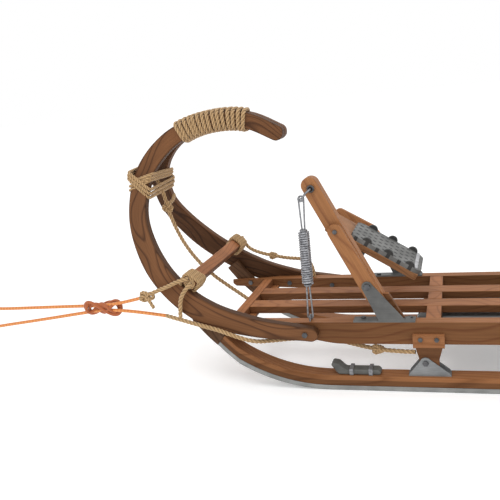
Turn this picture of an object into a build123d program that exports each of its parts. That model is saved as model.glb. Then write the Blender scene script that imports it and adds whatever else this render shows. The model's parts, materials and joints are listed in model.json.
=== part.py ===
from build123d import *
import math
import os

# Expedition pulk sled: two bent runners, a slatted bed on stanchions, a double bent bow and a spring-returned
# foot pedal on the left rail. Millimetres, +Z up, +X to the tail, -Y the sled's left side.
# Everything is drawn with X = 0 at the front stanchions; the export moves the origin to the middle of the
# sled's length, on the ground.

# Bed
BED_WIDTH = 520.0          # outer faces of the two rails
DECK_TOP = 210.0           # height of the deck above the ground
RAIL_THICK = 42.0
RAIL_HEIGHT = 68.0
RAIL_FRONT = -742.0
STATION_PITCH = 450.0      # between stanchions
STATIONS = 3
RAIL_OVERHANG = 100.0      # rail past the last stanchion
RAIL_NOSE_HEIGHT = 24.0    # rail's height at its front end
RAIL_RISE_START = -247.0   # where the rail's lower edge begins to rise
SLAT_WIDTH = 70.0
SLAT_THICK = 24.0
SLAT_SPREAD = 71.0         # slat's centre line from the sled's
CROSSBAR_WIDTH = 44.0
CROSSBAR_DEPTH = 38.0
CROSSBAR_OFFSET = 14.0     # crossbar's centre behind its stanchion
FRONT_BAR_X = -602.0
FRONT_BAR_WIDTH = 34.0
FRONT_LEDGE = 24.0         # ledge under the slats' front ends
SHEET_THICK = 3.0
SHEET_MARGIN = 18.0        # belly sheet's edge inside the rails

# Runners
RUNNER_WIDTH = 60.0
RUNNER_THICK = 31.0
SHOE_THICK = 15.0
RUNNER_INSET = 8.0         # runner's centre line inside the rail's outer face
RUNNER_TAIL = 220.0        # runner past the last stanchion
TOE_X = -292.0             # where the toe's arc begins
TOE_RADIUS = 560.0         # the shoe's lower face round the toe
SCARF_ANGLE = 40.5         # end of the runner, start of its nose, on the toe's arc
NOSE_ANGLE = 57.0
NOSE_THICK = 18.0
NOSE_END = -770.0           # just ahead of the nose's tip
NOSE_LEAN = 12.5            # of the nose inwards, by its tip
TAPER_BACK, TAPER_INNER, TAPER_OUTER = -580.0, -628.0, -650.0
RAIL_TAPER_BACK, RAIL_TAPER_FRONT = -567.0, -632.0

# Bow
ARM_THICK = 35.0
BOW_BOLT = (-360.0, DECK_TOP - 27.0)
BOW_KNOTS = [(0, 0), (-154, 19), (-309, 65), (-440, 155), (-527, 261), (-571, 373),
             (-553, 497), (-470, 592), (-349, 638), (-207, 638), (-83, 580)]
ARM_WIDTHS = [(0.0, 43), (0.1, 58), (0.2, 76), (0.35, 75), (0.5, 62), (0.65, 60), (0.8, 53), (1.0, 50)]
ARM_BACK = -0.011          # curve's parameter at the arm's rear and front ends
ARM_TIP = 0.987
ARM_LENGTH = 1500.0        # along the curve, for places given in millimetres from another
SPREAD_START, SPREAD_END = 0.18, 0.75
BAR_AT = 0.262             # bow crossbar's place on the arms
BAR_WIDTH, BAR_DEPTH = 40.0, 32.0
NOSE_REACH = 9.0           # runner nose below the arm's edge at the crossbar lashing
WRAP_START, WRAP_END, WRAP_TURNS = 0.731, 0.906, 15
LASHING_AT = 0.572
ROPE = 12.0
TOW_ROPE = 11.0

# Stanchions
STANCHION_THICK = 29.0
TAB_THICK = 16.0
TAB_WIDTH, TAB_HEIGHT = 90.0, 33.0
FOOT_WIDTH = 56.0
BRACKET_PLATE = 4.0
BRACKET_LENGTH = 122.0
PIN_Z = 87.0               # stanchion's pin above the ground
PIN_SHIFT = -11.0          # pin ahead of the stanchion's middle
PIN_RADIUS = 5.0
BOLT_RADIUS = 4.0
BOLT_SPACING = 46.0
BOW_BOLT_RADIUS = 5.0

# Foot pedal
PIVOT_X, PIVOT_RISE = -170.0, 110.0
PIVOT_RADIUS = 6.0
POST_LEAN = 26.6           # from the vertical, top forwards
POST_WIDTH, POST_THICK = 49.0, 42.0
POST_LENGTH = 332.0        # pivot to eyelet
POST_HEAD = 10.0           # middle of the post's round top past the eyelet
POST_TAIL = 66.0
DOUBLER_THICK = 18.0
DOUBLER_BOLT = 188.0       # above the pivot, along the post
DOUBLER_TAIL = 31.0
GUSSET_THICK = 4.5
FLANGE_THICK = 5.0
BOARD_SLOPE = 32.0
BOARD_MIDDLE = (33.0, 28.0)    # of its lower face, from the pivot
BOARD_UP, BOARD_DOWN = 210.0, 112.0
BOARD_WIDTH, BOARD_THICK = 204.0, 20.0
PAD_UP, PAD_DOWN = 130.0, 115.0
PAD_WIDTH, PAD_THICK = 196.0, 13.0
ARM_TOP = (-147.0, 123.0)  # middle of the right arm's round top, from the pivot
ROD_RADIUS = 9.0
ROD_AT = 80.0              # cross rod's place up the board from its middle
STOP_THICK = 22.0
SADDLE_SKIN = 3.0          # of the saddles round the cross rod

# Return spring
SPRING_X = -350.0
EYE_RISE = 14.0            # rail eye's pin above the deck
COIL_LOW, COIL_HIGH = 115.0, 282.0     # above the deck
COIL_RADIUS, WIRE = 17.5, 6.0
HOOK_RISE = 379.0          # hook's pin above the deck
EYE_OUTER, EYE_INNER = 9.0, 5.5
HOOK_PIN = 3.0

FIT = 0.3                  # clearance of moving faces
HOLE = 0.1                 # clearance of a bolt in its hole

rail_out = BED_WIDTH / 2
rail_in = rail_out - RAIL_THICK
rail_tail = (STATIONS - 1) * STATION_PITCH + RAIL_OVERHANG
runner_tail = (STATIONS - 1) * STATION_PITCH + RUNNER_TAIL
runner_mid = rail_out - RUNNER_INSET
runner_top = SHOE_THICK + RUNNER_THICK
nose_out = rail_out - 0.5
nose_in = nose_out - NOSE_THICK
rail_mid = rail_out - RAIL_THICK / 2
gusset_in = rail_out - GUSSET_THICK
doubler_out = gusset_in - FIT
doubler_in = doubler_out - DOUBLER_THICK
post_out = doubler_in
post_in = post_out - POST_THICK
pivot = (PIVOT_X, DECK_TOP + PIVOT_RISE)
stations = [i * STATION_PITCH for i in range(STATIONS)]


def block(x0, x1, y0, y1, z0, z1):
    """Box between two corners."""
    return Pos((x0 + x1) / 2, (y0 + y1) / 2, (z0 + z1) / 2) * Box(x1 - x0, y1 - y0, z1 - z0)


def side(sketch, y0, y1):
    """Plate from y0 to y1 on an outline drawn in X and Z."""
    return extrude(Plane.XZ.offset(-y0) * sketch, amount=y1 - y0, dir=(0, 1, 0))


def outline(*points):
    return make_face(Polyline(*points, close=True))


def pin(x, z, radius, y0, y1):
    """Round bar across the sled."""
    return side(Pos(x, z) * Circle(radius), y0, y1)


def bar(a, b, radius):
    """Round bar between two points."""
    a, b = Vector(*a), Vector(*b)
    return extrude(Plane(origin=a, z_dir=b - a) * Circle(radius), amount=(b - a).length)


def capsule(a, b, radius):
    """Outline with two round ends."""
    a, b = Vector(*a), Vector(*b)
    mid, run = (a + b) * 0.5, b - a
    turn = math.degrees(math.atan2(run.Y, run.X))
    return Pos(mid.X, mid.Y) * (Rot(0, 0, turn) * SlotCenterToCenter(run.length, 2 * radius))


def left(shape):
    """The same piece on the sled's left side."""
    return mirror(shape, about=Plane.XZ)


def both(shape):
    return [shape, left(shape)]


def hex_bolt(x, z, radius, y_head, y_end):
    """Hex head outside y_head, shank to y_end."""
    out = 1 if y_head > y_end else -1
    head = side(Pos(x, z) * RegularPolygon(1.8 * radius, 6), *sorted((y_head, y_head + out * 1.2 * radius)))
    return head + pin(x, z, radius, *sorted((y_head, y_end)))


def through_bolt(x, z, radius, y_in, y_out):
    """Bolt with a head outside and a nut inside."""
    nut = side(Pos(x, z) * RegularPolygon(1.8 * radius, 6), y_in - radius, y_in)
    return hex_bolt(x, z, radius, y_out, y_in) + nut


# ---- Bow's centre line: a uniform Catmull-Rom curve through the knots

def bow_point(t):
    """Point on the arms' centre line in X and Z; straight past both ends."""
    n = len(BOW_KNOTS) - 1
    k = [Vector(BOW_BOLT[0] + x, BOW_BOLT[1] + z) for x, z in BOW_KNOTS]
    k = [k[0] * 2 - k[1]] + k + [k[-1] * 2 - k[-2]]
    if t < 0:
        return k[1] + (k[2] - k[0]) * 0.5 * (t * n)
    i = min(int(t * n), n - 1)
    u = t * n - i
    a, b, c, d = k[i:i + 4]
    return (b * 2 + (c - a) * u + (a * 2 - b * 5 + c * 4 - d) * u ** 2
            + (b * 3 - a - c * 3 + d) * u ** 3) * 0.5


def bow_frame(t):
    """Point, direction along the arm and direction to the bow's inside."""
    step = 0.002
    run = bow_point(t + step) - bow_point(t - step) if t > 0 else bow_point(step) - bow_point(0)
    run = run.normalized()
    return bow_point(t), run, Vector(run.Y, -run.X)


def arm_width(t):
    for (t0, w0), (t1, w1) in zip(ARM_WIDTHS, ARM_WIDTHS[1:]):
        if t <= t1:
            return w0 + (w1 - w0) * max(0.0, t - t0) / (t1 - t0)
    return ARM_WIDTHS[-1][1]


def arm_spread(t):
    """Arm's middle from the sled's centre line: wide at the rails, together at the top."""
    wide, close = rail_out + ARM_THICK / 2 + FIT, ARM_THICK / 2 + 2 * FIT
    u = min(1.0, max(0.0, (t - SPREAD_START) / (SPREAD_END - SPREAD_START)))
    return wide + (close - wide) * u * u * (3 - 2 * u)


def bow_arm():
    """Right arm: a bent bar, its flat sides upright, with round ends."""
    sections = []
    ts = [ARM_BACK] + [i / 20 for i in range(20)] + [ARM_TIP]
    for t in ts:
        c, run, inward = bow_frame(t)
        y, h, w = arm_spread(t), ARM_THICK / 2, arm_width(t) / 2
        low, high = c - inward * w, c + inward * w
        corners = [(low.X, y - h, low.Y), (low.X, y + h, low.Y), (high.X, y + h, high.Y), (high.X, y - h, high.Y)]
        sections.append(Wire.make_polygon([Vector(*p) for p in corners], close=True))
    arm = Part() + Solid.make_loft(sections)
    for t in (ARM_BACK, ARM_TIP):
        c = bow_point(t)
        y = arm_spread(t)
        arm += pin(c.X, c.Y, arm_width(t) / 2, y - ARM_THICK / 2, y + ARM_THICK / 2)
    return arm


def rope_ring(t, along, half_in, half_out, y0, y1, rope, width):
    """One turn of rope round what lies between y0 and y1 at the arm, as a square ring with round corners."""
    c, run, inward = bow_frame(t)
    c = c + run * along
    plane = Plane(origin=(c.X, (y0 + y1) / 2, c.Y), x_dir=(0, 1, 0), z_dir=(run.X, 0, run.Y))
    up = 1 if plane.y_dir.dot(Vector(inward.X, 0, inward.Y)) > 0 else -1
    mid, half = up * (half_in - half_out) / 2, (half_in + half_out) / 2
    hole = Rectangle(y1 - y0, 2 * half)
    outer = RectangleRounded(y1 - y0 + 2 * rope, 2 * half + 2 * rope, rope * 0.8)
    return extrude(plane * (Pos(0, mid) * (outer - hole)), amount=width / 2, both=True)


# ---- Runners and rails

def toe_point(height, angle):
    """Point at a height above the shoe's lower face, carried round the toe's arc."""
    a = math.radians(angle)
    r = TOE_RADIUS - height
    return TOE_X - r * math.sin(a), TOE_RADIUS - r * math.cos(a)


def toe_arc(height, start, end):
    return ThreePointArc(toe_point(height, start), toe_point(height, (start + end) / 2), toe_point(height, end))


def strip(low, high, end):
    """Side outline of a strip from the tail, flat and then round the toe."""
    edges = [Line((runner_tail, low), (TOE_X, low)), toe_arc(low, 0, end),
             Line(toe_point(low, end), toe_point(high, end)), toe_arc(high, end, 0),
             Line((TOE_X, high), (runner_tail, high)), Line((runner_tail, high), (runner_tail, low))]
    return make_face(edges)


def plan(points):
    return extrude(outline(*points), amount=DECK_TOP + TOE_RADIUS)


def runner_plan(back):
    """Plan outline of the runner and its nose: full width, then thinned to lie between rail and arm."""
    y0, y1 = runner_mid - RUNNER_WIDTH / 2, runner_mid + RUNNER_WIDTH / 2
    return plan([(back, y0), (TAPER_BACK, y0), (TAPER_INNER, nose_in), (NOSE_END, nose_in - NOSE_LEAN),
                 (NOSE_END, nose_out - NOSE_LEAN), (TAPER_OUTER, nose_out), (TAPER_BACK, y1), (back, y1)])


def runner():
    shape = side(strip(SHOE_THICK, runner_top, SCARF_ANGLE), 0, BED_WIDTH)
    return shape & runner_plan(runner_tail)


def runner_shoe():
    shape = side(strip(0, SHOE_THICK, SCARF_ANGLE), 0, BED_WIDTH)
    return shape & runner_plan(runner_tail)


def runner_nose():
    edges = [toe_arc(0, SCARF_ANGLE, NOSE_ANGLE),
             Line(toe_point(0, NOSE_ANGLE), toe_point(runner_top, NOSE_ANGLE)),
             toe_arc(runner_top, NOSE_ANGLE, SCARF_ANGLE),
             Line(toe_point(runner_top, SCARF_ANGLE), toe_point(0, SCARF_ANGLE))]
    shape = side(make_face(edges), 0, BED_WIDTH)
    return shape & runner_plan(runner_tail)


def bed_rail():
    low = DECK_TOP - RAIL_HEIGHT
    front_low = DECK_TOP - RAIL_NOSE_HEIGHT
    under = Spline([(RAIL_RISE_START, low), (-360, low + 18), (-434, low + 29), (-512, low + 34),
                    (RAIL_FRONT + 12, front_low)], tangents=[(-1, 0), (-1, 0.05)])
    edges = [Line((rail_tail, DECK_TOP), (rail_tail, low)), Line((rail_tail, low), (RAIL_RISE_START, low)), under,
             Line(under @ 1, (RAIL_FRONT, front_low + 10)), Line((RAIL_FRONT, front_low + 10), (RAIL_FRONT, DECK_TOP)),
             Line((RAIL_FRONT, DECK_TOP), (rail_tail, DECK_TOP))]
    shape = side(make_face(edges), rail_in, rail_out)
    thin = nose_in - 1.5
    return shape - plan([(RAIL_TAPER_BACK, rail_out), (RAIL_TAPER_FRONT, thin), (NOSE_END, thin - NOSE_LEAN),
                         (NOSE_END, rail_out + 10), (RAIL_TAPER_BACK, rail_out + 10)])


# ---- Bed

def slat_front():
    return FRONT_BAR_X + FRONT_BAR_WIDTH / 2 + FIT


def slat():
    y0 = SLAT_SPREAD - SLAT_WIDTH / 2
    return block(slat_front(), rail_tail - 15, y0, y0 + SLAT_WIDTH, DECK_TOP - SLAT_THICK, DECK_TOP)


def slat_notches():
    """What the slats' housings take out of a crossbar."""
    y0 = SLAT_SPREAD - SLAT_WIDTH / 2
    return both(block(RAIL_FRONT, rail_tail, y0, y0 + SLAT_WIDTH, DECK_TOP - SLAT_THICK, DECK_TOP + 10))


def crossbar(x):
    body = block(x - CROSSBAR_WIDTH / 2, x + CROSSBAR_WIDTH / 2, -rail_in, rail_in,
                 DECK_TOP - CROSSBAR_DEPTH, DECK_TOP)
    return body - slat_notches()


def front_crossbar():
    """Bar with a ledge that the slats' front ends are screwed down on."""
    x0, x1 = FRONT_BAR_X - FRONT_BAR_WIDTH / 2, FRONT_BAR_X + FRONT_BAR_WIDTH / 2
    floor = DECK_TOP - SLAT_THICK
    ledge = block(x1, x1 + FRONT_LEDGE, -rail_in, rail_in, floor - 10, floor)
    return block(x0, x1, -rail_in, rail_in, floor - 10, DECK_TOP) + ledge


def belly_sheet():
    y = rail_in - SHEET_MARGIN
    top = DECK_TOP - CROSSBAR_DEPTH
    x0 = stations[0] + CROSSBAR_OFFSET + CROSSBAR_WIDTH / 2 - 2
    return block(x0, rail_tail - 15, -y, y, top - SHEET_THICK, top)


# ---- Stanchions

bracket_in = runner_mid - STANCHION_THICK / 2 - 0.5 - BRACKET_PLATE
bracket_out = runner_mid + STANCHION_THICK / 2 + 0.5 + BRACKET_PLATE
bracket_top = runner_top + BRACKET_PLATE


def stanchion(x):
    """Tapered wooden upright under the rail, with a tab bolted to the rail's outer face."""
    y0, y1 = runner_mid - STANCHION_THICK / 2, runner_mid + STANCHION_THICK / 2
    rail_low = DECK_TOP - RAIL_HEIGHT
    w, f, top = TAB_WIDTH / 2, FOOT_WIDTH / 2, TAB_WIDTH / 2 - 4
    foot = side(outline((x - top, rail_low), (x - f, PIN_Z + 8), (x - f, bracket_top + 5),
                        (x + f, bracket_top + 5), (x + f, PIN_Z + 8), (x + top, rail_low)), y0, y1)
    tab = block(x - w, x + w, rail_out, rail_out + TAB_THICK, rail_low - 6, rail_low + TAB_HEIGHT)
    shape = foot + tab
    shape -= pin(x + PIN_SHIFT, PIN_Z, PIN_RADIUS + HOLE, 0, BED_WIDTH)
    return shape - [pin(x + d, tab_bolt_z(), BOLT_RADIUS + HOLE, 0, BED_WIDTH) for d in bolt_offsets()]


def tab_bolt_z():
    return DECK_TOP - RAIL_HEIGHT + 0.62 * TAB_HEIGHT


def bolt_offsets():
    return -BOLT_SPACING / 2, BOLT_SPACING / 2


def stanchion_bracket(x):
    """Base on the runner with two ears round the stanchion's foot."""
    half = BRACKET_LENGTH / 2
    base = block(x - half, x + half, bracket_in, bracket_out, runner_top, bracket_top)
    low, high, p = bracket_top + 4, PIN_Z + 10, x + PIN_SHIFT
    ear = outline((x - half + 3, runner_top), (x - half + 3, low), (p - 12, high),
                  (p + 14, high), (x + half - 3, low), (x + half - 3, runner_top))
    ear += Pos(p, PIN_Z) * Circle(17)
    ears = [side(ear, bracket_in, bracket_in + BRACKET_PLATE), side(ear, bracket_out - BRACKET_PLATE, bracket_out)]
    shape = base + ears
    return shape - pin(p, PIN_Z, PIN_RADIUS + HOLE, 0, BED_WIDTH)


def stanchion_pin(x):
    return through_bolt(x + PIN_SHIFT, PIN_Z, PIN_RADIUS, bracket_in, bracket_out)


def tab_bolts(x):
    return [through_bolt(x + d, tab_bolt_z(), BOLT_RADIUS, rail_in, rail_out + TAB_THICK) for d in bolt_offsets()]


# ---- Pedal. Its outlines are drawn along the post and then leaned.

lean = math.radians(POST_LEAN)
post_up = Vector(-math.sin(lean), math.cos(lean))
slope = math.radians(BOARD_SLOPE)
board_down = Vector(math.cos(slope), -math.sin(slope))
board_up = Vector(math.sin(slope), math.cos(slope))
pivot_v = Vector(*pivot)
post_r = POST_WIDTH / 2


def on_post(distance):
    """Point on the post's centre line, measured up from the pivot."""
    return pivot_v + post_up * distance


def on_board(down, rise):
    """Point measured down the foot board's slope and up from its lower face."""
    return pivot_v + Vector(*BOARD_MIDDLE) + board_down * down + board_up * rise


rod_v = on_board(-ROD_AT, -ROD_RADIUS - SADDLE_SKIN)
eyelet = on_post(POST_LENGTH)
hook = Vector(SPRING_X, DECK_TOP + HOOK_RISE)


def pedal_holes():
    """Pivot, doubler bolt and eyelet through the post and its doubler."""
    bolt = on_post(DOUBLER_BOLT)
    return [pin(pivot[0], pivot[1], PIVOT_RADIUS + HOLE, 0, BED_WIDTH),
            pin(bolt.X, bolt.Y, BOLT_RADIUS + HOLE, 0, BED_WIDTH),
            pin(eyelet.X, eyelet.Y, BOLT_RADIUS + HOLE, 0, BED_WIDTH)]


def rod_hole():
    return pin(rod_v.X, rod_v.Y, ROD_RADIUS, 0, BED_WIDTH)


def pedal_post():
    shape = side(capsule(on_post(-POST_TAIL), on_post(POST_LENGTH + POST_HEAD), post_r), post_in, post_out)
    return shape - pedal_holes() - rod_hole()


def post_doubler():
    ends = on_post(-DOUBLER_TAIL), on_post(DOUBLER_BOLT)
    return side(capsule(*ends, post_r - 2), doubler_in, doubler_out) - pedal_holes()


def right_pedal_arm():
    """Bent arm from the right bracket round the cross rod to its round top."""
    r, top = post_r - 4, pivot_v + Vector(*ARM_TOP)
    shape = side(capsule(pivot_v, rod_v, r) + capsule(rod_v, top, r), doubler_in, doubler_out)
    return shape - pin(pivot[0], pivot[1], PIVOT_RADIUS + HOLE, 0, BED_WIDTH) - rod_hole()


def cross_rod():
    return pin(rod_v.X, rod_v.Y, ROD_RADIUS, -post_out, doubler_out)


def board_plate(down0, down1, rise0, rise1, y0, y1):
    """Box in the foot board's own directions."""
    corners = [on_board(down0, rise0), on_board(down1, rise0), on_board(down1, rise1), on_board(down0, rise1)]
    return side(outline(*[(p.X, p.Y) for p in corners]), y0, y1)


def foot_board():
    board = board_plate(-BOARD_UP, BOARD_DOWN, 0, BOARD_THICK, -BOARD_WIDTH / 2, BOARD_WIDTH / 2)
    return fillet(board.edges().filter_by(lambda e: abs((e % 0.5).Y) < 0.01 and e.length < BOARD_THICK + 1), 14)


def tread_pad():
    """Moulded pad with three lugs along each side."""
    w = PAD_WIDTH / 2
    pad = board_plate(-PAD_UP, PAD_DOWN, BOARD_THICK, BOARD_THICK + PAD_THICK, -w, w)
    pad = fillet(pad.edges().filter_by(lambda e: abs((e % 0.5).Y) < 0.01 and e.length < PAD_THICK + 1), 30)
    for down in (-75, 0, 75):
        c = on_board(down, BOARD_THICK + PAD_THICK - 3)
        for y in (-w, w - 13):
            pad += pin(c.X, c.Y, 17, y, y + 13) - board_plate(down - 30, down + 30, -30, BOARD_THICK, -w - 9, w + 9)
    return pad - heel_bar()


def heel_bar():
    """Metal strap across the pad's lower end."""
    w = PAD_WIDTH / 2 - 8
    return board_plate(PAD_DOWN - 26, PAD_DOWN - 14, BOARD_THICK + PAD_THICK - 4, BOARD_THICK + PAD_THICK + 4, -w, w)


def board_saddles():
    """Clamps that hold the board on the cross rod."""
    deep = 2 * (ROD_RADIUS + SADDLE_SKIN)
    saddle = board_plate(-ROD_AT - 18, -ROD_AT + 18, -deep, 0, 40, 62)
    return both(saddle - pin(rod_v.X, rod_v.Y, ROD_RADIUS, 0, BED_WIDTH))


def pivot_bracket():
    """Steel gusset with a flange bolted down on the rail."""
    x, z = pivot
    top = DECK_TOP + FLANGE_THICK
    ear = outline((x - 15, z - 6), (x + 31, DECK_TOP), (x + 111, DECK_TOP), (x + 15, z + 6), (x + 2, z + 14))
    ear += Pos(x, z) * Circle(16)
    foot = outline((x + 100, DECK_TOP), (x + 112, top + 14), (x + 134, top), (x + 134, DECK_TOP))
    flange = block(x - 47, x + 134, rail_in + 2, rail_out, DECK_TOP, top)
    shape = side(ear, gusset_in, rail_out) + side(foot, gusset_in, rail_out) + flange
    return shape - pin(x, z, PIVOT_RADIUS + HOLE, 0, BED_WIDTH) - flange_bolts()


def flange_bolts():
    """Round-headed screws down through the flange into the rail."""
    out = []
    for x in (PIVOT_X - 19, PIVOT_X + 118):
        top = DECK_TOP + FLANGE_THICK
        out.append(bar((x, rail_mid - 6, DECK_TOP - 30), (x, rail_mid - 6, top), 3.5)
                   + bar((x, rail_mid - 6, top), (x, rail_mid - 6, top + 5), 8))
    return out


def stop_block():
    """Wooden block on the rail, a hair behind the post's tail at rest."""
    back = Vector(post_up.Y, -post_up.X)
    face = pivot_v + back * (post_r + FIT)
    low, high = DECK_TOP + FLANGE_THICK, DECK_TOP + 82
    a = face + post_up * ((low - face.Y) / post_up.Y)
    b = face + post_up * ((high - face.Y) / post_up.Y)
    sketch = outline((a.X, a.Y), (b.X, b.Y), (b.X + STOP_THICK * 0.8, high), (a.X + STOP_THICK, low))
    return side(sketch, rail_in + 2, post_out)


def pivot_bolts():
    """Bolts that the pedal turns on, one through each bracket."""
    x, z = pivot
    near = through_bolt(x, z, PIVOT_RADIUS, post_in, rail_out)
    far = through_bolt(x, z, PIVOT_RADIUS, doubler_in, rail_out)
    return [left(near), far]


def doubler_bolt():
    b = on_post(DOUBLER_BOLT)
    return left(through_bolt(b.X, b.Y, BOLT_RADIUS, post_in, doubler_out))


# ---- Return spring, drawn on the right side and mirrored with the rest of the pedal's post

eye_z = DECK_TOP + EYE_RISE
coil_low, coil_high = DECK_TOP + COIL_LOW, DECK_TOP + COIL_HIGH
eye_y0, eye_y1 = rail_mid - 3.5, rail_mid + 3.5
link_y0, link_y1 = eye_y1 + 1, eye_y1 + 4


def post_eyelet():
    """Shouldered bolt in the post's head that carries the hook."""
    head = pin(eyelet.X, eyelet.Y, 2 * BOLT_RADIUS, link_y1 + 0.5, link_y1 + 4)
    nut = pin(eyelet.X, eyelet.Y, 2 * BOLT_RADIUS, post_in - 5, post_in)
    return head + nut + pin(eyelet.X, eyelet.Y, BOLT_RADIUS, post_in - 5, link_y1 + 4)


def spring_hook():
    """Flat link from the eyelet to the spring's upper eye, with its cross pin."""
    link = side(capsule(hook, eyelet, 8) - Pos(eyelet.X, eyelet.Y) * Circle(BOLT_RADIUS + HOLE), link_y0, link_y1)
    cross = pin(hook.X, hook.Y, HOOK_PIN, eye_y0 - 3, link_y1) + pin(hook.X, hook.Y, 5, eye_y0 - 3, eye_y0 - 1)
    return link + cross


def rod_eye(z):
    return side(Pos(SPRING_X, z) * (Circle(EYE_OUTER) - Circle(EYE_INNER)), eye_y0, eye_y1)


def spring_lower():
    rod = bar((SPRING_X, rail_mid, eye_z + EYE_INNER + 1), (SPRING_X, rail_mid, coil_low), WIRE / 2)
    cap = bar((SPRING_X, rail_mid, coil_low - 4), (SPRING_X, rail_mid, coil_low), COIL_RADIUS - 1)
    return rod_eye(eye_z) + rod + cap


def spring_upper():
    z = hook.Y
    rod = bar((SPRING_X, rail_mid, coil_high), (SPRING_X, rail_mid, z - EYE_INNER - 1), WIRE / 2)
    cap = bar((SPRING_X, rail_mid, coil_high), (SPRING_X, rail_mid, coil_high + 4), COIL_RADIUS - 1)
    return rod_eye(z) + rod + cap


def spring_coil():
    shape = Circle(COIL_RADIUS) - Circle(COIL_RADIUS - WIRE)
    return Pos(SPRING_X, rail_mid, coil_low + FIT) * extrude(shape, amount=coil_high - coil_low - 2 * FIT)


def rail_eye():
    """Plate on the rail with two ears and a cross pin for the spring's lower eye."""
    plate = block(SPRING_X - 14, SPRING_X + 14, rail_mid - 14, rail_mid + 14, DECK_TOP, DECK_TOP + 4)
    ear = outline((SPRING_X - 9, DECK_TOP), (SPRING_X - 9, eye_z), (SPRING_X + 9, eye_z), (SPRING_X + 9, DECK_TOP))
    ear += Pos(SPRING_X, eye_z) * Circle(9)
    ears = [side(ear, rail_mid + d, rail_mid + d + 3) for d in (-11, 8)]
    return plate + ears + pin(SPRING_X, eye_z, HOOK_PIN, rail_mid - 11, rail_mid + 11)


# ---- Grip on the left runner

GRIP_X0, GRIP_X1, GRIP_WIDTH, GRIP_HEIGHT = -293.0, -141.0, 40.0, 17.0
STRAP_X = (-231.0, -173.0)
STRAP_WIDTH, STRAP_THICK = 12.0, 3.0


def runner_grip():
    """Rubber block strapped on the runner, its nose turned up."""
    z = runner_top
    top = z + GRIP_HEIGHT
    edges = Polyline((GRIP_X1 - 6, z), (GRIP_X1, top - 10), (GRIP_X1 - 8, top), (GRIP_X0 + 44, top),
                     (GRIP_X0 + 24, top + 19), (GRIP_X0 + 6, top + 22), (GRIP_X0, top + 14), (GRIP_X0 + 22, z),
                     close=True)
    y = runner_mid
    shape = side(make_face(edges), y - GRIP_WIDTH / 2, y + GRIP_WIDTH / 2)
    return shape


def grip_straps():
    """Steel straps over the grip, down both sides of it to the runner."""
    out = []
    for x in STRAP_X:
        y, w = runner_mid, GRIP_WIDTH / 2
        x0, x1, z = x - STRAP_WIDTH / 2, x + STRAP_WIDTH / 2, runner_top
        hoop = block(x0, x1, y - w - STRAP_THICK, y + w + STRAP_THICK, z, z + GRIP_HEIGHT + STRAP_THICK)
        out.append(hoop - block(x0, x1, y - w, y + w, z, z + GRIP_HEIGHT))
    return out


# ---- Bow fastenings and lashings

def bow_bolt_places():
    """X, Z, inner face and outer end of each bolt that holds rail, nose and arm together."""
    return [(BOW_BOLT[0], BOW_BOLT[1], rail_in, rail_out + ARM_THICK + FIT),
            (-520.0, DECK_TOP - 16, rail_in, rail_out + 25), (-672.0, DECK_TOP - 12, rail_in, nose_out - 5)]


def bow_bolt_holes():
    return [pin(x, z, BOW_BOLT_RADIUS + HOLE, y0, y1) for x, z, y0, y1 in bow_bolt_places()]


def bow_bolts():
    """One bolt right through with its head outside; the others are driven from the inside."""
    outer, *inner = bow_bolt_places()
    return [through_bolt(*outer[:2], BOW_BOLT_RADIUS, *outer[2:])] + [
        hex_bolt(x, z, BOW_BOLT_RADIUS, y0, y1) for x, z, y0, y1 in inner]


def bow_crossbar():
    c, run, inward = bow_frame(BAR_AT)
    c = c + inward * (arm_width(BAR_AT) / 2 + BAR_DEPTH / 2 + 3 * FIT)
    turn = math.degrees(math.atan2(run.Y, run.X))
    section = Pos(c.X, c.Y) * (Rot(0, 0, turn) * RectangleRounded(BAR_WIDTH, BAR_DEPTH, 4))
    y = arm_spread(BAR_AT) + 8
    return side(section, -y, y)


def bow_wrap():
    """Rope wound round both arms, as one ring for each turn."""
    rings = []
    for i in range(WRAP_TURNS):
        t = WRAP_START + (WRAP_END - WRAP_START) * (i + 0.5) / WRAP_TURNS
        y = arm_spread(t) + ARM_THICK / 2 + 1
        half = arm_width(t) / 2 + 1
        rings.append(rope_ring(t, 0, half, half, -y, y, 13, 15.0))
    return rings


def bow_lashing():
    """Turns round each arm and two ropes between the arms."""
    y, h = arm_spread(LASHING_AT), ARM_THICK / 2 + 5.5
    half = arm_width(LASHING_AT) / 2 + 1.5
    c, run, inward = bow_frame(LASHING_AT)
    out = []
    for along in (-15, 0, 15):
        mid = arm_spread(LASHING_AT + along / ARM_LENGTH)
        ring = rope_ring(LASHING_AT, along, half, half, mid - h, mid + h, ROPE, ROPE)
        out += both(ring)
    for d in (-1, 1):
        p = c + inward * (half * 0.6 * d) + run * (9 * d)
        out.append(bar((p.X, -(y - h - ROPE), p.Y), (p.X, y - h - ROPE, p.Y), ROPE / 2))
    return out


def crossbar_lashings():
    """Turns round arm and nose on both sides of the bow crossbar, and one round the crossbar."""
    half = arm_width(BAR_AT) / 2 + 2
    y0, y1 = nose_in - NOSE_LEAN - 1, arm_spread(BAR_AT) + ARM_THICK / 2 + 9
    rings = [rope_ring(BAR_AT, d, half, half + reach, y0, y1, ROPE - 2, ROPE)
             for d, reach in ((-BAR_WIDTH / 2 - 8, NOSE_REACH), (BAR_WIDTH / 2 + 8, 0))]
    c, run, inward = bow_frame(BAR_AT)
    c = c + inward * (arm_width(BAR_AT) / 2 + BAR_DEPTH / 2 + 3 * FIT)
    turn = math.degrees(math.atan2(run.Y, run.X))
    ring = RectangleRounded(BAR_WIDTH + 18, BAR_DEPTH + 18, 8) - RectangleRounded(BAR_WIDTH + 1, BAR_DEPTH + 1, 4)
    wrap = side(Pos(c.X, c.Y) * (Rot(0, 0, turn) * ring), y0 - 22, y0 - 12)
    return [s for r in rings + [wrap] for s in both(r)]


# ---- Ropes. The routes are lists of points; the tubes are straight runs joined by tangent arcs.

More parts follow.
